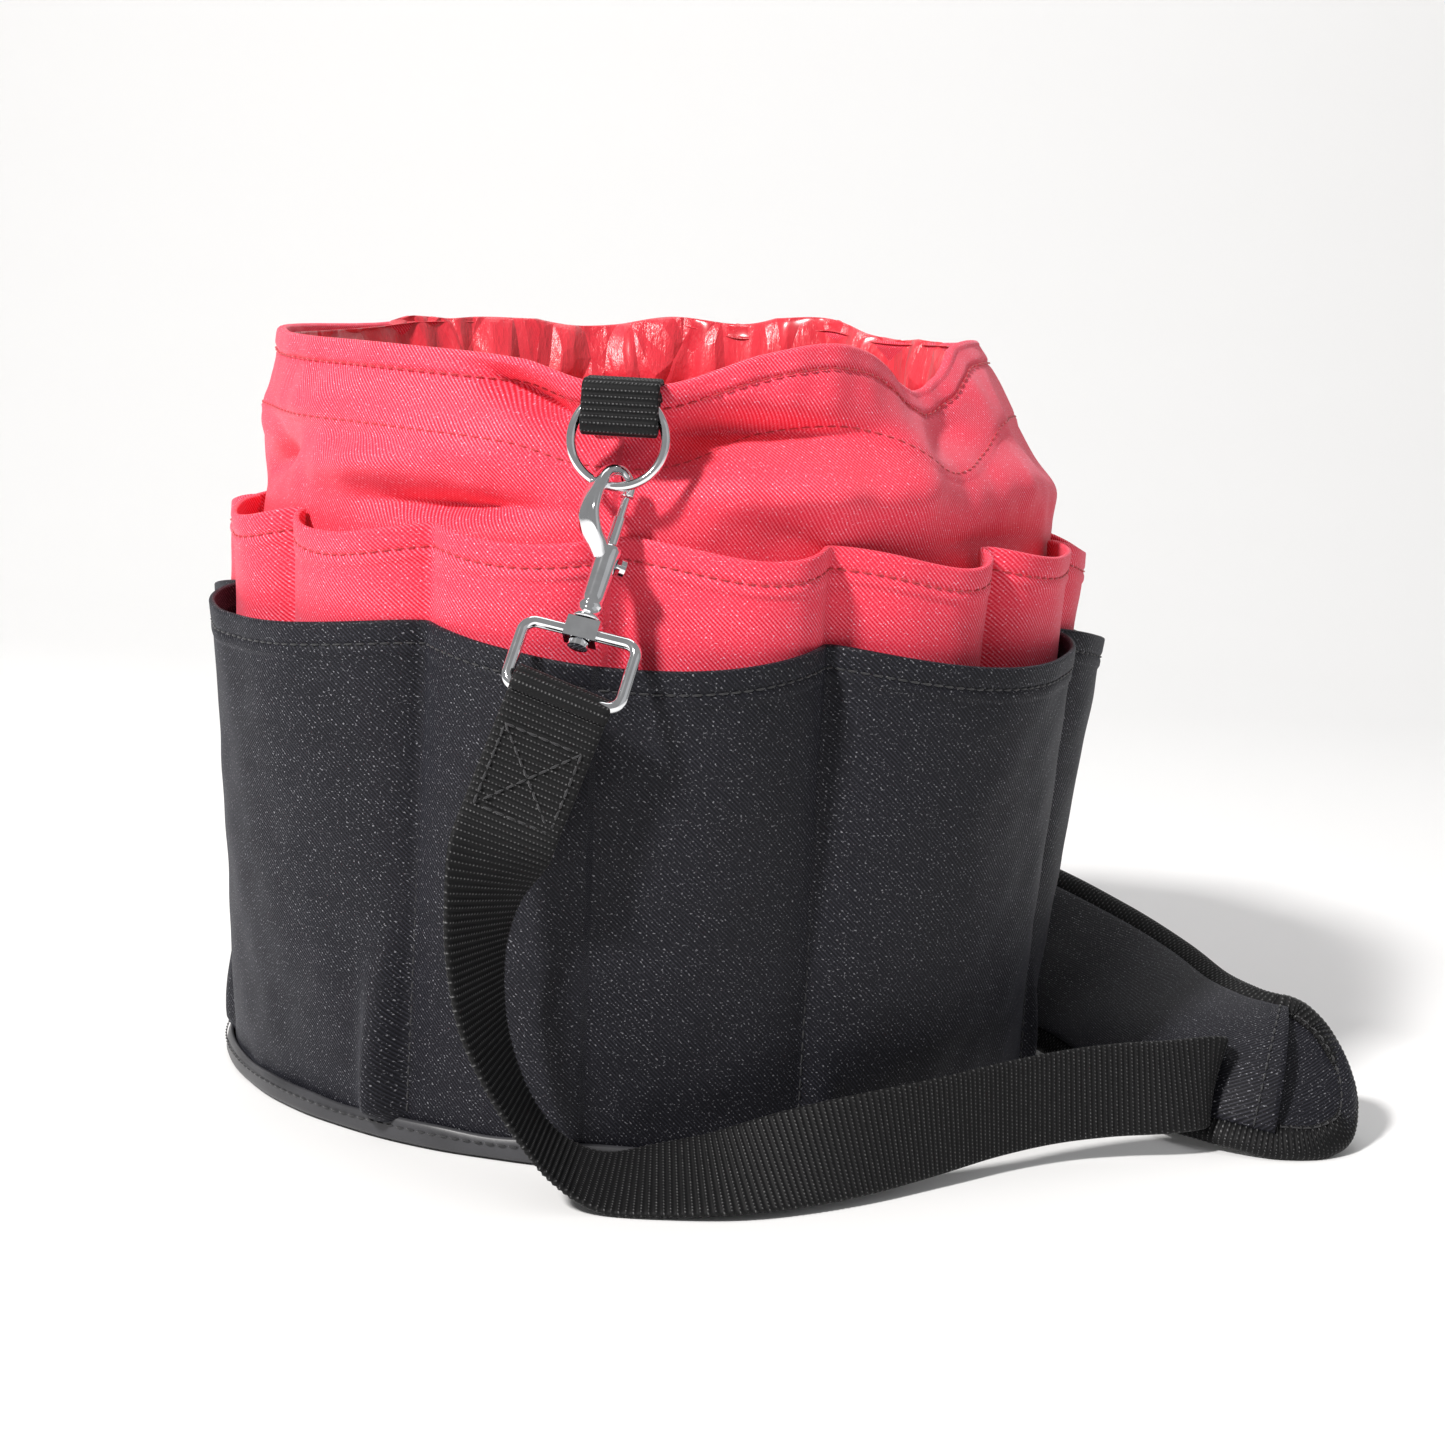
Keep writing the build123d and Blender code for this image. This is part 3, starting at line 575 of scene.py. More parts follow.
def build_lining():
    """The thin lining: down the inside of the collar, gathered under the hem, and over the floor."""
    share = np.r_[np.linspace(0, 0.06, 20), np.linspace(0.065, 0.55, 74), np.linspace(0.56, 1, 30)]
    az, s = np.meshgrid(AZ, share)
    top = collar_top(az)
    z = (top - 0.6) * (1 - s) + LINING_FLOOR_Z * s
    u = arc_mm(az, DRUM_R)
    loose = smoothstep(0.0, 0.07, s)
    folds = crumple(u, z * 0.8, 52, 3, TAU * DRUM_R) * 12 + crumple(u, z * 0.8, 23, 4, TAU * DRUM_R) * 4.5
    pleats = 1.8 * np.sin(np.radians(az) * 23 + 2.4 * waves(u, z, 5)) * smoothstep(0.45, 0.0, s)
    radius = np.minimum(drum_radius(az, z), DRUM_R) - LINING_INSET
    radius -= loose * (folds * 0.9 + pleats * 0.8 + 2.5)
    behind = smoothstep(95, 125, np.abs(wrap_deg(az)))
    peaks = crumple(u, 0 * u, 34, 6, TAU * DRUM_R, (-12.0, 12.0))
    over = np.exp(-(((s - 0.034) / 0.024) ** 2)) * behind
    side = polar(radius + 2.0 * over, az, z + over * (8.2 + 3.6 * peaks))
    rows, heights = [side], [z]
    for k in np.linspace(0.97, 0.02, 26):
        r = radius[-1:] * k
        lift = 6.6 + 1.1 * crumple(r * np.sin(np.radians(AZ)), r * np.cos(np.radians(AZ)), 34, 8)
        rows.append(polar(r, AZ[None, :], lift))
        heights.append(LINING_FLOOR_Z - (1 - k) * 110 + 0 * AZ[None, :])
    points = np.concatenate(rows)
    lining = grid_object("bag_lining", points, [LINING], cloth_coords(points, np.concatenate(heights)))
    lining.modifiers.new("cloth", "SOLIDIFY").thickness = 0.25 * MM
    attach(lining, "root", "lining_red", "lining_wall", "lining_floor")


# ---- Pockets ----
def panel_share(az, count, turn):
    """Which panel an azimuth is in, and how far across it from -1 to 1."""
    pitch = 360 / count
    along = ((az - turn) % 360) / pitch
    index = np.floor(along).astype(int)
    return index, 2 * (along - index) - 1


def pocket_ring(count, turn, seam_r, bulge, rim_z, seed, looks, square, rim_dip, pleats=()):
    """One strip of pockets, sewn down at its seams and at the foot, with a turned hem at the rim.

    looks gives a panel's extra swell, extra height and lean, by its number. pleats are tucks at
    the foot: azimuth, height reached, depth and width.
    """
    rng = np.random.default_rng(seed)
    swell = 1 + rng.uniform(-0.10, 0.10, count)
    skew = rng.uniform(-0.15, 0.15, count)
    lift = rng.uniform(-1.0, 1.0, count)
    for index, (extra, raised, lean) in looks.items():
        swell[index] += extra
        lift[index] += raised
        skew[index] = lean

    def leaning_share(az):
        index, across = panel_share(az, count, turn)
        return index, np.clip(across + skew[index] * (1 - across**2), -1, 1)

    def rim_height(az):
        index, across = leaning_share(az)
        return rim_z + lift[index] * (1 - across**2) - rim_dip * (1 - across**2) ** 1.4

    def radius_at(az, z):
        index, across = leaning_share(az)
        rise = np.clip((z - CLOTH_FOOT_Z) / (rim_z - CLOTH_FOOT_Z), 0, 1.05)
        box = (1 - np.abs(across) ** square) ** 0.85
        body = seam_r + bulge * swell[index] * box * rise**0.85
        u = arc_mm(az, seam_r)
        body = body + 0.55 * waves(u, z * 0.7, seed + 1) * box
        body = body + 0.25 * waves(u, z, seed + 2, high=0.08) * box
        for place, reach, depth, width in pleats:
            d = wrap_deg(az - place - POCKET_TURN)
            low = smoothstep(reach, 12.0, z) * smoothstep(2.0, 9.0, z)
            side = -1 if place < 0 else 1
            tuck = bump(d * side, width * 1.5, width * 1.1) - 0.12 * bump(d, 0, width * 0.32)
            body = body + low * depth * tuck
        return body

    share = np.concatenate([np.linspace(0, 0.90, 60), np.linspace(0.905, 1, 26)])
    az, s = np.meshgrid(AZ, share)
    rim = rim_height(az)
    z = CLOTH_FOOT_Z + (rim - CLOTH_FOOT_Z) * s
    below = rim - z
    radius = radius_at(az, z)
    hem = smoothstep(8.6, 7.6, below)
    radius += 0.45 * hem - 0.5 * bump(below, POCKET_HEM_DOWN, 0.7)
    outer = polar(radius, az, z)
    rows, heights = rolled_lip(outer, z, 0.8, [35, 90, 145])
    rows.append(outer[::-1] - outward(outer)[::-1] * (0.75 + 0.85 * hem[::-1, :, None]))
    heights.append(2 * z[-1:] - z[::-1] + 2.5)
    points = np.concatenate(rows)
    return points, cloth_coords(points, np.concatenate(heights)), radius_at, rim_height


def rim_path(radius_at, rim_height, below, proud):
    """A closed stitch path a little under a rim, with its outward directions."""
    az = np.linspace(0, 360, STITCH_STEPS)
    z = rim_height(az) - below
    points = polar(radius_at(az, z) + proud, az, z)
    run = np.gradient(points, axis=0)
    return points, unit(np.stack([run[:, 1], -run[:, 0], 0 * run[:, 0]], -1))


def seam_path(radius_at, az, low, high, proud):
    """An upright stitch path up a seam."""
    z = np.linspace(low, high, 60)
    at = np.full(60, az)
    return polar(radius_at(at, z) + proud, at, z), unit(polar(np.ones(60), at, 0 * z))


def strip_paths(strip, count, turn, top):
    """The stitch paths of a strip of pockets: round its rim, then up each seam."""
    radius_at, rim_height = strip[2:]
    paths = [rim_path(radius_at, rim_height, POCKET_HEM_DOWN, 0.1)]
    for i in range(count):
        paths.append(seam_path(radius_at, turn + i * 360 / count, 8, top, 0.2))
    return paths


def build_pockets():
    """Both strips of pockets, and the stitches on them and on the collar."""
    black_turn = POCKET_TURN - 180 / BLACK_COUNT
    red = pocket_ring(
        RED_COUNT, POCKET_TURN, RED_SEAM_R, RED_BULGE, RED_RIM_Z + 1.8, 21,
        {0: (0.0, 0.0, -0.3), 1: (0.15, -0.4, -0.42), 2: (0.12, 0.6, 0.2), 12: (0.0, 0.4, 0.1),
         13: (0.05, 1.4, 0.0), 11: (0.1, 0.5, -0.3)}, 2.4, 3.6,
    )
    black = pocket_ring(
        BLACK_COUNT, black_turn, BLACK_SEAM_R, BLACK_BULGE, BLACK_RIM_Z + 3.5, 31,
        {0: (0.06, 0.3, -0.12), 6: (0.02, 1.2, 0.0), 1: (0.05, 2.0, 0.08)}, 2.5, 6.0,
        [(-25.7, 70, 9.0, 2.4), (25.7, 36, 2.4, 2.0), (77.1, 46, 3.5, 2.2), (128.6, 40, 3.5, 2.2),
         (-128.6, 44, 3.6, 2.2), (-77.1, 38, 3.0, 2.0), (180, 44, 3.2, 2.2)],
    )
    for name, ring, material, slot_name, node, flat in (
        ("red_pockets", red, RED, "red_fabric", "red_pocket_strip", (0.80, 0.156)),
        ("black_pockets", black, BLACK, "black_fabric", "black_pocket_strip", (0.82, 0.130)),
    ):
        piece = grid_object(name, ring[0], [material], ring[1], closed_rows=True)
        attach(piece, "root", slot_name, node)
    red_paths = strip_paths(red, RED_COUNT, POCKET_TURN, 150)
    red_paths.append(rim_path(drum_radius, collar_top, LIP_DOWN, 0.95))
    red_paths.append(rim_path(drum_radius, collar_top, HEM_DOWN, 0.5))
    black_paths = strip_paths(black, BLACK_COUNT, black_turn, 124)
    for name, paths, material, slot_name in (
        ("red_stitching", red_paths, RED_THREAD, "red_fabric"),
        ("black_stitching", black_paths, BLACK_THREAD, "black_fabric"),
    ):
        stitches = thread_object(name, paths, material)
        attach(stitches, "root", slot_name)


# ---- Base ----
def build_base():
    """The vinyl binding round the bottom edge and the fabric underside, slightly dished."""
    az = AZ[None, :]
    wobble = 0.35 * waves(az * 2, 0 * az, 41, low=0.01, high=0.05)
    section = [(112.9, 0.9), (113.2, 0.15), (115.4, 0.05), (116.6, 0.5), (117.0, 1.6), (116.9, 3.8),
               (116.6, 5.6), (115.9, 6.3), (115.2, 6.0), (115.0, 4.0), (114.6, 1.6), (113.6, 1.2)]
    rows = [polar(r + wobble * 0.5 + 0 * az, az, z + wobble * (z > 3)) for r, z in section]
    points = np.concatenate(rows)
    binding = grid_object("base_binding_tape", points, [VINYL], closed_rows=True)
    attach(binding, "root", "binding_vinyl", "base_binding")
    round_az = np.linspace(0, 360, STITCH_STEPS)
    path = (polar(117.1 + 0 * round_az, round_az, 4.3), polar(1 + 0 * round_az, round_az, 0.0))
    stitches = thread_object("binding_stitching", [path], BLACK_THREAD)
    attach(stitches, "root", "black_fabric")
    rows = []
    for k in np.linspace(1.0, 0.0, 40):
        r = 112.7 * k
        uneven = waves(r * np.sin(np.radians(az)), r * np.cos(np.radians(az)), 43)
        dish = 0.9 * (1 - k**6) + 0.25 * (1 - k) * uneven
        rows.append(polar(max(r, 0.4) + 0 * az, az, 0.15 + dish))
    under = np.concatenate(rows)
    over = under[::-1] + np.array([0, 0, 0.7])
    points = np.concatenate([under, over])
    cloth = np.stack([points[..., 0], points[..., 1], 0 * points[..., 0]], -1)
    cover = grid_object("base_underside", points, [BLACK], cloth, closed_rows=True)
    attach(cover, "root", "black_fabric", "base_panel")


# ---- Ribbons: straps, tabs and tapes ----
def glide_along(stations, step):
    """Even points, across and outward directions along a smooth line through (point, across) stations."""
    p = np.array([s[0] for s in stations], float)
    w = unit(np.array([s[1] for s in stations], float))
    dense = smooth_curve(np.hstack([p, w]), 24)
    length = np.r_[0, np.cumsum(np.linalg.norm(np.diff(dense[:, :3], axis=0), axis=1))]
    s = np.arange(0, length[-1], step)
    line = np.stack([np.interp(s, length, dense[:, k]) for k in range(6)], -1)
    points = line[:, :3]
    run = unit(np.gradient(points, axis=0))
    across = line[:, 3:]
    across = unit(across - run * (across * run).sum(1, keepdims=True))
    return s, points, across, np.cross(across, run)


def web_object(name, stations, width, thick=STRAP_T, shift=0.0):
    """A band of ribbed webbing along stations, with round edges and real ribs."""
    s, points, across, normal = glide_along(stations, RIB_PITCH / 4)
    rib = RIB_DEPTH * np.cos(TAU * s / RIB_PITCH)
    columns = np.r_[-0.5, -0.485, np.linspace(-0.46, 0.46, 11), 0.485, 0.5]
    round_off = np.sqrt(np.clip(1 - np.clip((np.abs(columns) - 0.46) / 0.04, 0, 1) ** 2, 0, 1))
    grid, cloth = [], []
    for sign, cols in ((1, columns), (-1, columns[::-1][1:-1])):
        rounds = round_off if sign == 1 else round_off[::-1][1:-1]
        for c, roundness in zip(cols, rounds):
            fullness = 0.0 if abs(c) == 0.5 else max(roundness, 0.12)
            lift = sign * (thick / 2 + rib) * fullness + shift
            grid.append(points + across * (c * width) + normal * lift[:, None])
            cloth.append(np.stack([s, np.full(len(s), c * width), 0 * s], -1))
    grid, cloth = np.stack(grid, 1), np.stack(cloth, 1)
    return grid_object(name, grid, [WEB], cloth, caps=True)


def turn_axes(lean, roll):
    """The hook's own axes in the front frame: across the eye, outward and up the barrel."""
    m = Matrix.Rotation(-lean, 3, "X") @ Matrix.Rotation(roll, 3, "Y")
    return np.array(m)


def joint_named(name):
    """A joint of the CAD model, with its place and axis."""
    return next(j for j in frame["joints"] if j["name"] == name)


def half_turn(end):
    """Factors of x, y and z that turn the front's layout to this end of the bag."""
    return np.array([1.0, 1.0, 1.0]) if end == "front" else np.array([-1.0, -1.0, 1.0])


def sewn_stations(end):
    """The strap's end: a tail up the back, round the eye's bar and down the front."""
    joint = joint_named(f"{end}_swivel")
    flange = np.array(joint["pos_m"]) / MM
    up = np.array(joint["axis"], float)
    bar = flange - up * EYE_DROP
    roll = END_ROLL[end]
    turn = half_turn(end)
    across = np.array([math.cos(roll), 0, -math.sin(roll)]) * turn
    down = np.array([-math.sin(roll), 0, -math.cos(roll)]) * turn
    out = np.array([0, -1.0, 0]) * turn
    ply = STRAP_T / 2 + 0.1
    stations = [(bar + down * d - out * ply, across) for d in (SEWN_LEN - 2, 24, 15, 9.5)]
    for a in np.radians([-60, -25, 10, 50, 90, 130, 170, 205, 240]):
        place = bar + down * (-math.sin(a) * BAR_LOOP_R) - out * (math.cos(a) * BAR_LOOP_R)
        stations.append((place, across))
    stations += [(bar + down * d + out * ply, across) for d in (9.5, 15, 24, SEWN_LEN)]
    return stations, bar, across, down, out


# The strap's stations: a point, and the way across the webbing there. DROP is the front strap, PAD_RUN
# the pad's own line, and REAR the strap behind, from under the pad to the rear eye.
DROP = [
    ((-23.4, -143, 74), (0.66, 0.73, -0.12)), ((-24.8, -142.8, 60), (0.44, 0.90, 0)),
    ((-22.8, -142.4, 44), (0.28, 0.95, 0.04)), ((-17.8, -141.6, 30), (0.12, 0.99, 0.06)),
    ((-10.6, -140.8, 17.6), (0, 0.99, 0.10)), ((-2.6, -140.2, 9.4), (-0.04, 0.98, 0.17)),
    ((8, -139.8, 5), (-0.06, 0.95, 0.30)), ((22, -140, 6.6), (-0.05, 0.88, 0.47)),
    ((38, -138, 9), (0.02, 0.78, 0.62)), ((55, -131, 11.8), (0.08, 0.62, 0.78)),
    ((72, -120.6, 13.8), (0.08, 0.42, 0.90)), ((89, -106.6, 15.2), (0.04, 0.20, 0.98)),
    ((104.5, -92, 16.4), (0, 0.08, 1)), ((119.5, -80.4, 17.4), (0, 0.08, 1)),
    ((134.5, -72.4, 18.2), (0.05, 0.18, 0.98)), ((149, -66, 18.4), (0.12, 0.34, 0.93)),
    ((158.5, -60.4, 18.6), (0.16, 0.38, 0.91)), ((162.4, -54, 18), (0.22, 0.42, 0.88)),
    ((160, -46.5, 16.2), (0.36, 0.46, 0.81)), ((156, -38, 14), (0.50, 0.48, 0.72)),
    ((152, -28, 14.6), (0.60, 0.46, 0.65)), ((148, -12, 16.6), (0.68, 0.38, 0.62)),
    ((142, 10, 19), (0.68, 0.30, 0.66)),
]
PAD_RUN = [
    ((203, -38.5, 12.6), (0.20, 0.76, 0.60)), ((196, -41.6, 14.8), (0.22, 0.76, 0.60)),
    ((186, -43.2, 17.2), (0.28, 0.74, 0.60)), ((173.5, -41, 18.8), (0.44, 0.66, 0.60)),
    ((161.5, -29, 18.8), (0.62, 0.50, 0.60)), ((152.5, -6, 18.2), (0.70, 0.34, 0.62)),
    ((144, 22, 19.8), (0.68, 0.28, 0.67)), ((130.5, 50, 22), (0.56, 0.26, 0.78)),
    ((109.5, 81, 25.4), (0.40, 0.28, 0.87)), ((84, 106, 26.9), (0.30, 0.34, 0.89)),
    ((60, 124, 26.9), (0.24, 0.36, 0.90)), ((44, 132.5, 26.9), (0.20, 0.38, 0.90)),
]
REAR = [
    ((84, 107, 26.9), (0.30, 0.34, 0.89)), ((60, 125.2, 26.9), (0.24, 0.36, 0.90)),
    ((38, 139, 23.6), (0.12, 0.30, 0.94)), ((24, 150, 18.6), (0.06, 0.15, 0.98)),
    ((8, 160.5, 16.4), (0, 0.05, 1)), ((-8, 166.6, 15.8), (0, 0, 1)),
    ((-58, 176.6, 15.8), (0, 0, 1)), ((-76, 178.6, 14.6), (0, 0, 1)),
    ((-88, 177.6, 13.8), (0, 0, 1)), ((-96.5, 173, 13.2), (0, 0, 1)),
    ((-99.5, 166, 13.2), (0, 0, 1)), ((-96.5, 158.5, 13.2), (0, 0, 1)),
    ((-88, 153.8, 13.6), (-0.1, 0, 0.99)), ((-74, 149.6, 17.4), (-0.38, 0.05, 0.92)),
    ((-59, 147.4, 26), (-0.52, 0.05, 0.85)), ((-44, 146, 38), (-0.65, 0.15, 0.74)),
    ((-31.5, 145, 53), (-0.78, 0.20, 0.60)), ((-22.5, 144.4, 69), (-0.93, 0.12, 0.35)),
]


def build_front_strap():
    """From the front eye down the bag's front, twisting, then on edge to the pad and into its sleeve."""
    sewn, bar, across, down, out = sewn_stations("front")
    strap = web_object("front_strap", sewn[4:] + DROP, STRAP_W)
    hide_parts("front_strap_end", "front_strap_drop", "floor_strap", "fold_strap", "tunnel_strap")
    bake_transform(strap)
    tail = web_object("front_strap_fold", sewn[:5], STRAP_W - 0.4)
    attach(tail, "front_eye", "webbing_black")
    sew_box("front", bar, across, down, out)


def build_rear_strap():
    """From under the pad, through the glide, round the turn and up to the rear eye."""
    sewn, bar, across, down, out = sewn_stations("rear")
    strap = web_object("rear_strap_web", REAR + sewn[4:][::-1], STRAP_W)
    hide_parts("rear_strap", "rear_strap_end")
    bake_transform(strap)
    tail = web_object("rear_strap_fold", sewn[:5], STRAP_W - 0.4)
    attach(tail, "rear_eye", "webbing_black")
    start = ((-50.0, 175.0, 15.8), (0, 0, 1))
    back = web_object("rear_strap_return", [start] + REAR[6:], STRAP_W - 0.6, shift=1.8)
    attach(back, "root", "webbing_black", "rear_strap_tail")
    sew_box("rear", bar, across, down, out)


def sew_box(end, bar, across, down, out):
    """The box and cross of stitches that closes the strap's loop, on both faces."""
    half, low, high = STRAP_W / 2 - 2.6, SEWN_LEN - 3.0, 10.5
    corners = [(-half, high), (half, high), (half, low), (-half, low), (-half, high)]
    lines = [[corners[i], corners[i + 1]] for i in range(4)]
    lines += [[corners[0], corners[2]], [corners[1], corners[3]]]
    paths = []
    for face in (1, -1):
        for (a0, d0), (a1, d1) in lines:
            t = np.linspace(0, 1, 30)[:, None]
            place = across * (a0 + (a1 - a0) * t) + down * (d0 + (d1 - d0) * t)
            points = bar + place + out * face * (STRAP_T + 0.26)
            paths.append((points, np.tile(out * face, (30, 1))))
    stitches = thread_object(f"{end}_box_stitching", paths, BLACK_THREAD, length=2.4, gap=0.5, radius=0.27)
    attach(stitches, f"{end}_eye", "webbing_black")


# ---- Tabs, hooks and metal ----
def build_tab(end):
    """The ribbon over the hem: sewn under the lip inside, with a loop in front that holds the ring."""
    turn = half_turn(end)
    place = np.array([0.0 if end == "front" else 180.0])
    top = float(collar_top(place)[0])
    face = float(drum_radius(place, np.array([top - 1.0]))[0])
    low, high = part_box(f"{end}_tab_loop")
    bottom = low[2] / MM
    reach = max(abs(low[1]), abs(high[1])) / MM - 0.8
    ring_y, ring_z = RING_TOP
    section = [
        (face - 2.3, top - 9.0), (face - 2.3, top - 3.0), (face - 2.0, top + 0.6), (face - 0.2, top + 2.5),
        (face + 3.0, top + 2.3), (ring_y + 1.2, ring_z + 2.6), (ring_y + 2.4, ring_z - 0.8),
        (reach - 1.4, bottom + 5.6), (reach - 1.0, bottom + 1.8), (reach - 2.8, bottom + 0.5),
        (reach - 4.8, bottom + 1.8), (ring_y - 1.6, ring_z - 4.0), (ring_y - 2.4, ring_z + 0.4),
        (face + 1.4, top - 2.0),
    ]
    if end == "rear":
        section = [(face + 2.4, top - 1.0), *section[5:]]
    stations = [(np.array([0, -y, z]) * turn, np.array([1.0, 0.0, 0.0]) * turn) for y, z in section]
    web = web_object(f"{end}_tab_web", stations, TAB_W, thick=1.2)
    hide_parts(f"{end}_tab", f"{end}_tab_loop")
    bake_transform(web)


def build_claw(end):
    """The cast hook: a round barrel that flows into a broad flat claw, and a nose over the bolt."""
    joint = joint_named(f"{end}_swivel")
    flange = np.array(joint["pos_m"]) / MM
    turn = np.diag(half_turn(end)) @ turn_axes(HOOK_LEAN, HOOK_ROLL[end])
    side, ahead, up = turn[:, 0], turn[:, 1], turn[:, 2]
    out = side * math.cos(CLAW_PLAN) + ahead * math.sin(CLAW_PLAN)
    flat = np.cross(up, out)
    keys = [(1.6, 17.0, 1.9, 1.9), (3.6, 18.9, 1.9, 2.5), (6.6, 21.0, 1.55, 3.3), (8.9, 24.6, 1.45, 3.5),
            (9.4, 29.0, 1.45, 3.2), (8.9, 33.4, 1.5, 2.6), (7.4, 37.0, 1.5, 2.0), (4.4, 38.9, 1.5, 1.7),
            (1.5, 38.0, 1.5, 1.7), (0.2, 36.0, 1.5, 1.8), (0.0, 33.9, 1.45, 1.7)]
    line = smooth_curve(np.array(keys), 10)
    path = flange + out * line[:, :1] + up * line[:, 1:2]
    run = unit(np.gradient(path, axis=0))
    across = np.cross(run, flat)
    ang = np.linspace(0, TAU, 28, endpoint=False)
    c, s = np.cos(ang)[None, :, None], np.sin(ang)[None, :, None]
    square = (np.abs(np.cos(ang)) ** 3 + np.abs(np.sin(ang)) ** 3) ** (-1 / 3)
    ring = across[:, None] * c * line[:, None, 2:3] + flat * s * line[:, None, 3:4]
    claw = grid_object(f"{end}_claw", path[:, None] + ring * square[None, :, None], [CHROME], caps=True)
    turned = [(0.0, 3.2), (0.1, 3.5), (0.9, 3.55), (1.05, 3.2), (1.3, 2.75), (3.0, 2.85), (3.4, 3.1),
              (4.2, 3.1), (4.6, 2.85), (6.0, 2.8), (16.5, 3.0), (18.6, 3.1), (19.6, 3.0), (20.1, 2.5),
              (20.2, 1.7)]
    rings = []
    spokes = side[None] * np.cos(ang)[:, None] + ahead[None] * np.sin(ang)[:, None]
    for z, r in turned:
        rings.append(flange + up * z + spokes * r)
    barrel = grid_object(f"{end}_barrel", np.array(rings), [CHROME], caps=True)
    for piece in (claw, barrel):
        attach(piece, f"{end}_hook", "hook_chrome")
    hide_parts(f"{end}_hook_body")


def finish_metal():
    """The plated parts keep their CAD form, with worn edges and a plated finish."""
    nodes = frame["nodes"]
    for end in ("front", "rear"):
        for part in ("ring", "hook_bolt", "thumb_knob", "swivel_rivet", "swivel_eye"):
            dress(nodes[f"{end}_{part}"], CHROME, 0.25)
        dress(nodes[f"{end}_hook_spring"], STEEL, 0.0)
    dress(nodes["tri_glide"], GLIDE, 0.5)
    dress(nodes["base_board"], BOARD, 0.0)


def dress(obj, material, edge):
    """A material for a CAD part, and a soft edge of a width in millimetres."""
    obj.data.materials.clear()
    obj.data.materials.append(material)
    if edge:
        soft = obj.modifiers.new("edge", "BEVEL")
        soft.width = edge * MM
        soft.segments = 3
        soft.limit_method = "ANGLE"
        soft.angle_limit = math.radians(50)
        soft.harden_normals = False


# ---- Shoulder pad ----
def build_pad():
    """The pad's cushion, with its tape and the sleeve."""
    s, points, across, normal = glide_along(PAD_RUN, 1.2)
    total = s[-1]
    end_round = np.clip(np.minimum(s / 24.0, (total - s) / 22.0), 0, 1)
    half = PAD_HALF_W * np.sqrt(np.clip(1 - (1 - end_round) ** 2, 0.01, 1))
    columns = np.sin(np.linspace(-math.pi / 2, math.pi / 2, 41))
    cc, ss = columns[None, :], s[:, None]
    plump = (1 - np.abs(cc) ** 3.2) * np.minimum(1, half[:, None] / 14)
    rumple = 0.35 * waves(ss + 0 * cc, cc * 26, 61) + 0.25 * waves(ss + 0 * cc, cc * 26, 62, high=0.1)
    upper = 1.0 + plump * (2.4 + rumple)
    lower = -0.9 - plump * (0.9 + 0.5 * rumple)
    base = points[:, None] + across[:, None] * (cc * half[:, None])[..., None]

    def layer(height):
        return base + normal[:, None] * height[..., None]

    grid = np.concatenate([layer(upper), layer(lower)[:, ::-1][:, 1:-1]], 1)
    flat = np.stack([ss + 0 * cc, cc * half[:, None], 0 * cc * ss], -1)
    cloth = np.concatenate([flat, flat[:, ::-1][:, 1:-1]], 1)
    body = grid_object("pad_body", grid, [BLACK], cloth, caps=True)
    attach(body, "root", "black_fabric", "pad_base", "pad_foam")
    build_pad_binding(base, normal)
    build_sleeve(s, points, across, normal, half)


def build_pad_binding(base, normal):
    """Ribbed tape folded over the pad's edge all the way round."""
    rows, last = len(base), base.shape[1] - 1
    edge = [(r, 0) for r in range(rows)] + [(rows - 1, c) for c in range(1, last)]
    edge += [(r, last) for r in range(rows - 1, -1, -1)] + [(0, c) for c in range(last - 1, 0, -1)]
    idx = np.array(edge)
    line = base[idx[:, 0], idx[:, 1]]
    up = normal[idx[:, 0]]
    closed = np.vstack([line, line[:1]])
    length = np.r_[0, np.cumsum(np.linalg.norm(np.diff(closed, axis=0), axis=1))]
    count = int(length[-1] / 1.5) * 4
    at = np.linspace(0, length[-1], count, endpoint=False)
    path = np.stack([np.interp(at, length, closed[:, k]) for k in range(3)], -1)
    ups = np.stack([np.interp(at, length, np.r_[up[:, k], up[:1, k]]) for k in range(3)], -1)
    for _ in range(6):
        path = (np.roll(path, 1, 0) + path + np.roll(path, -1, 0)) / 3
    run = unit(np.roll(path, -1, 0) - np.roll(path, 1, 0))
    ups = unit(ups - run * (ups * run).sum(1, keepdims=True))
    inward = np.cross(ups, run)
    centre = line.mean(0)
    if ((centre - path) * inward).sum() < 0:
        inward = -inward
    rib = 0.14 * np.cos(TAU * np.arange(count) / 4)
    section = [(8.0, 2.1), (7.8, 2.9), (4.0, 2.5), (0.8, 2.0), (-0.6, 1.0), (-0.9, 0.0), (-0.6, -1.1),
               (0.8, -1.9), (4.0, -2.2), (7.8, -2.5), (8.0, -1.6), (4.0, -1.0), (1.5, 0.0), (4.0, 1.2)]
    outside = 11  # the section's first points are outside, where the ribs show
    grid, cloth = [], []
    along = np.arange(count) / 4 * RIB_PITCH
    for k, (deep, high) in enumerate(section):
        ribbed = rib if k < outside else 0 * rib
        grid.append(path + inward * deep + ups * (high * (1 + ribbed))[:, None])
        cloth.append(np.stack([along, np.full(count, k * 2.0), 0 * along], -1))
    tape = grid_object("pad_binding_tape", np.stack(grid, 1), [WEB], np.stack(cloth, 1), closed_rows=True)
    attach(tape, "root", "webbing_black", "pad_binding")
    stitch = path + inward * 7.0 + ups * 3.0
    stitches = thread_object("pad_stitching", [(stitch, ups)], BLACK_THREAD)
    attach(stitches, "root", "black_fabric")


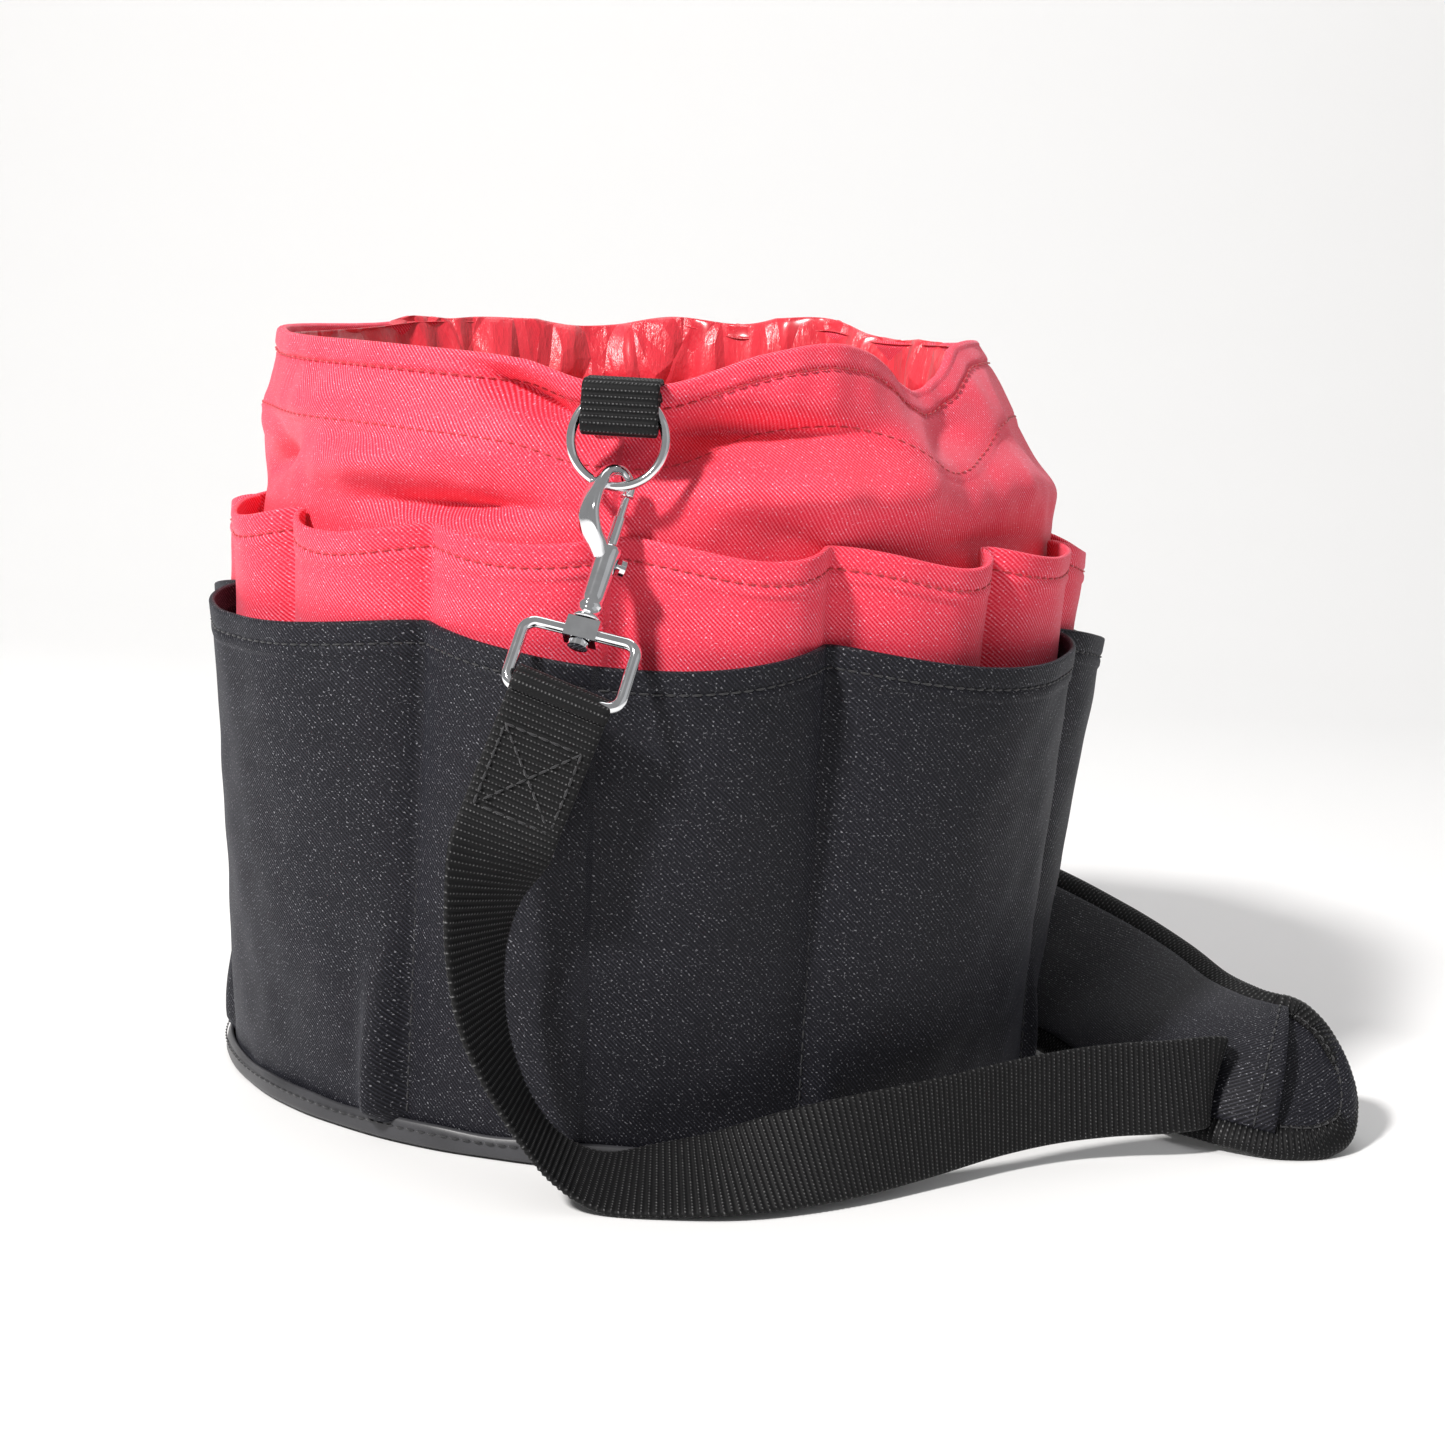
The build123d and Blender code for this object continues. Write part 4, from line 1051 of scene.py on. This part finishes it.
def build_sleeve(s, points, across, normal, half):
    """The cloth sleeve on the pad that the strap runs through, open near each end."""
    keep = (s > 22) & (s < s[-1] - 26)
    s, p, w, n, h = s[keep], points[keep], across[keep], normal[keep], half[keep]
    columns = np.linspace(-1, 1, 37)
    cc, ss = columns[None, :], (s - s[0])[:, None]
    mouth = np.exp(-ss / 14.0) + np.exp(-(ss[-1] - ss) / 14.0)
    arch = (1 - cc**2) ** 0.8
    height = 3.2 + arch * (3.0 + 2.6 * mouth) + 0.45 * waves(ss + 0 * cc, cc * 20, 63) * arch
    side = cc * (h[:, None] - 5.0)
    top = p[:, None] + w[:, None] * side[..., None] + n[:, None] * height[..., None]
    under = top - n[:, None] * 0.7
    grid = np.concatenate([top, under[:, ::-1]], 1)
    flat = np.stack([ss + 0 * cc, side, 0 * side], -1)
    cloth = np.concatenate([flat, flat[:, ::-1]], 1)
    sleeve = grid_object("pad_sleeve_cloth", grid, [BLACK], cloth, caps=True)
    attach(sleeve, "root", "black_fabric", "pad_sleeve")
    paths = []
    for k in (3, -4):
        row = top[k] + n[k] * 0.35
        paths.append((row, np.tile(n[k], (len(row), 1))))
    stitches = thread_object("sleeve_stitching", paths, BLACK_THREAD)
    attach(stitches, "root", "black_fabric")


# ---- Stage ----
def build_stage():
    """A pale floor that sweeps up behind, a camera at the bag's front and soft studio light."""
    level = [(y, 0) for y in (-2500, -800, 0, 900)]
    sweep = [(900 + 700 * math.sin(a), 700 - 700 * math.cos(a)) for a in np.radians(range(10, 91, 10))]
    rows = []
    for y, z in level + sweep + [(1600, 2600)]:
        rows.append([(x, y, z - FLOOR_DROP) for x in (-3000, -1000, 0, 1000, 3000)])
    floor = grid_object("floor", np.array(rows, float), [stage_material()], closed_cols=False)
    camera = bpy.data.objects.new("camera", bpy.data.cameras.new("camera"))
    bpy.context.scene.collection.objects.link(camera)
    ahead = Vector((0, math.cos(CAMERA_DOWN), -math.sin(CAMERA_DOWN)))
    right = Vector((1, 0, 0))
    above = right.cross(ahead)
    across = right * math.cos(CAMERA_TILT) + above * math.sin(CAMERA_TILT)
    above = above * math.cos(CAMERA_TILT) - right * math.sin(CAMERA_TILT)
    turn = Matrix.Rotation(CAMERA_TURN, 4, "Z")
    place = Matrix((across, above, -ahead)).transposed().to_4x4()
    place.translation = Vector(CAMERA_PLACE)
    camera.matrix_world = turn @ place
    camera.data.lens = LENS_MM
    camera.data.sensor_width = SENSOR_MM
    bpy.context.scene.camera = camera
    light("key", (-0.95, -1.25, 1.45), 50.0, 0.22, (1.0, 0.98, 0.96))
    light("fill", (1.5, -1.0, 0.6), 1.5, 1.6, (0.96, 0.98, 1.0))
    light("top", (0.0, 0.5, 1.6), 7.0, 1.2, (1.0, 1.0, 1.0))
    world = bpy.data.worlds.new("studio")
    world.use_nodes = True
    sky = world.node_tree.nodes["Background"]
    sky.inputs["Color"].default_value = (1.0, 1.0, 1.0, 1.0)
    sky.inputs["Strength"].default_value = WORLD_STRENGTH
    bpy.context.scene.world = world
    bpy.context.scene.view_settings.view_transform = "Standard"


def stage_material():
    """Plain pale matt."""
    n = Nodes("studio_floor")
    n.set(Base_Color=(0.93, 0.93, 0.93, 1.0), Roughness=0.95)
    return n.material


def light(name, place, power, size, colour):
    """A soft area light aimed at the middle of the bag."""
    data = bpy.data.lights.new(name, "AREA")
    data.energy = power
    data.size = size
    data.color = colour
    lamp = bpy.data.objects.new(name, data)
    lamp.location = place
    lamp.rotation_mode = "QUATERNION"
    lamp.rotation_quaternion = (Vector(LIGHT_AIM) - Vector(place)).to_track_quat("-Z", "Y")
    bpy.context.scene.collection.objects.link(lamp)


build_wall()
build_lining()
build_pockets()
build_base()
build_front_strap()
build_rear_strap()
for tab_end in ("front", "rear"):
    build_tab(tab_end)
    build_claw(tab_end)
build_pad()
finish_metal()
build_stage()
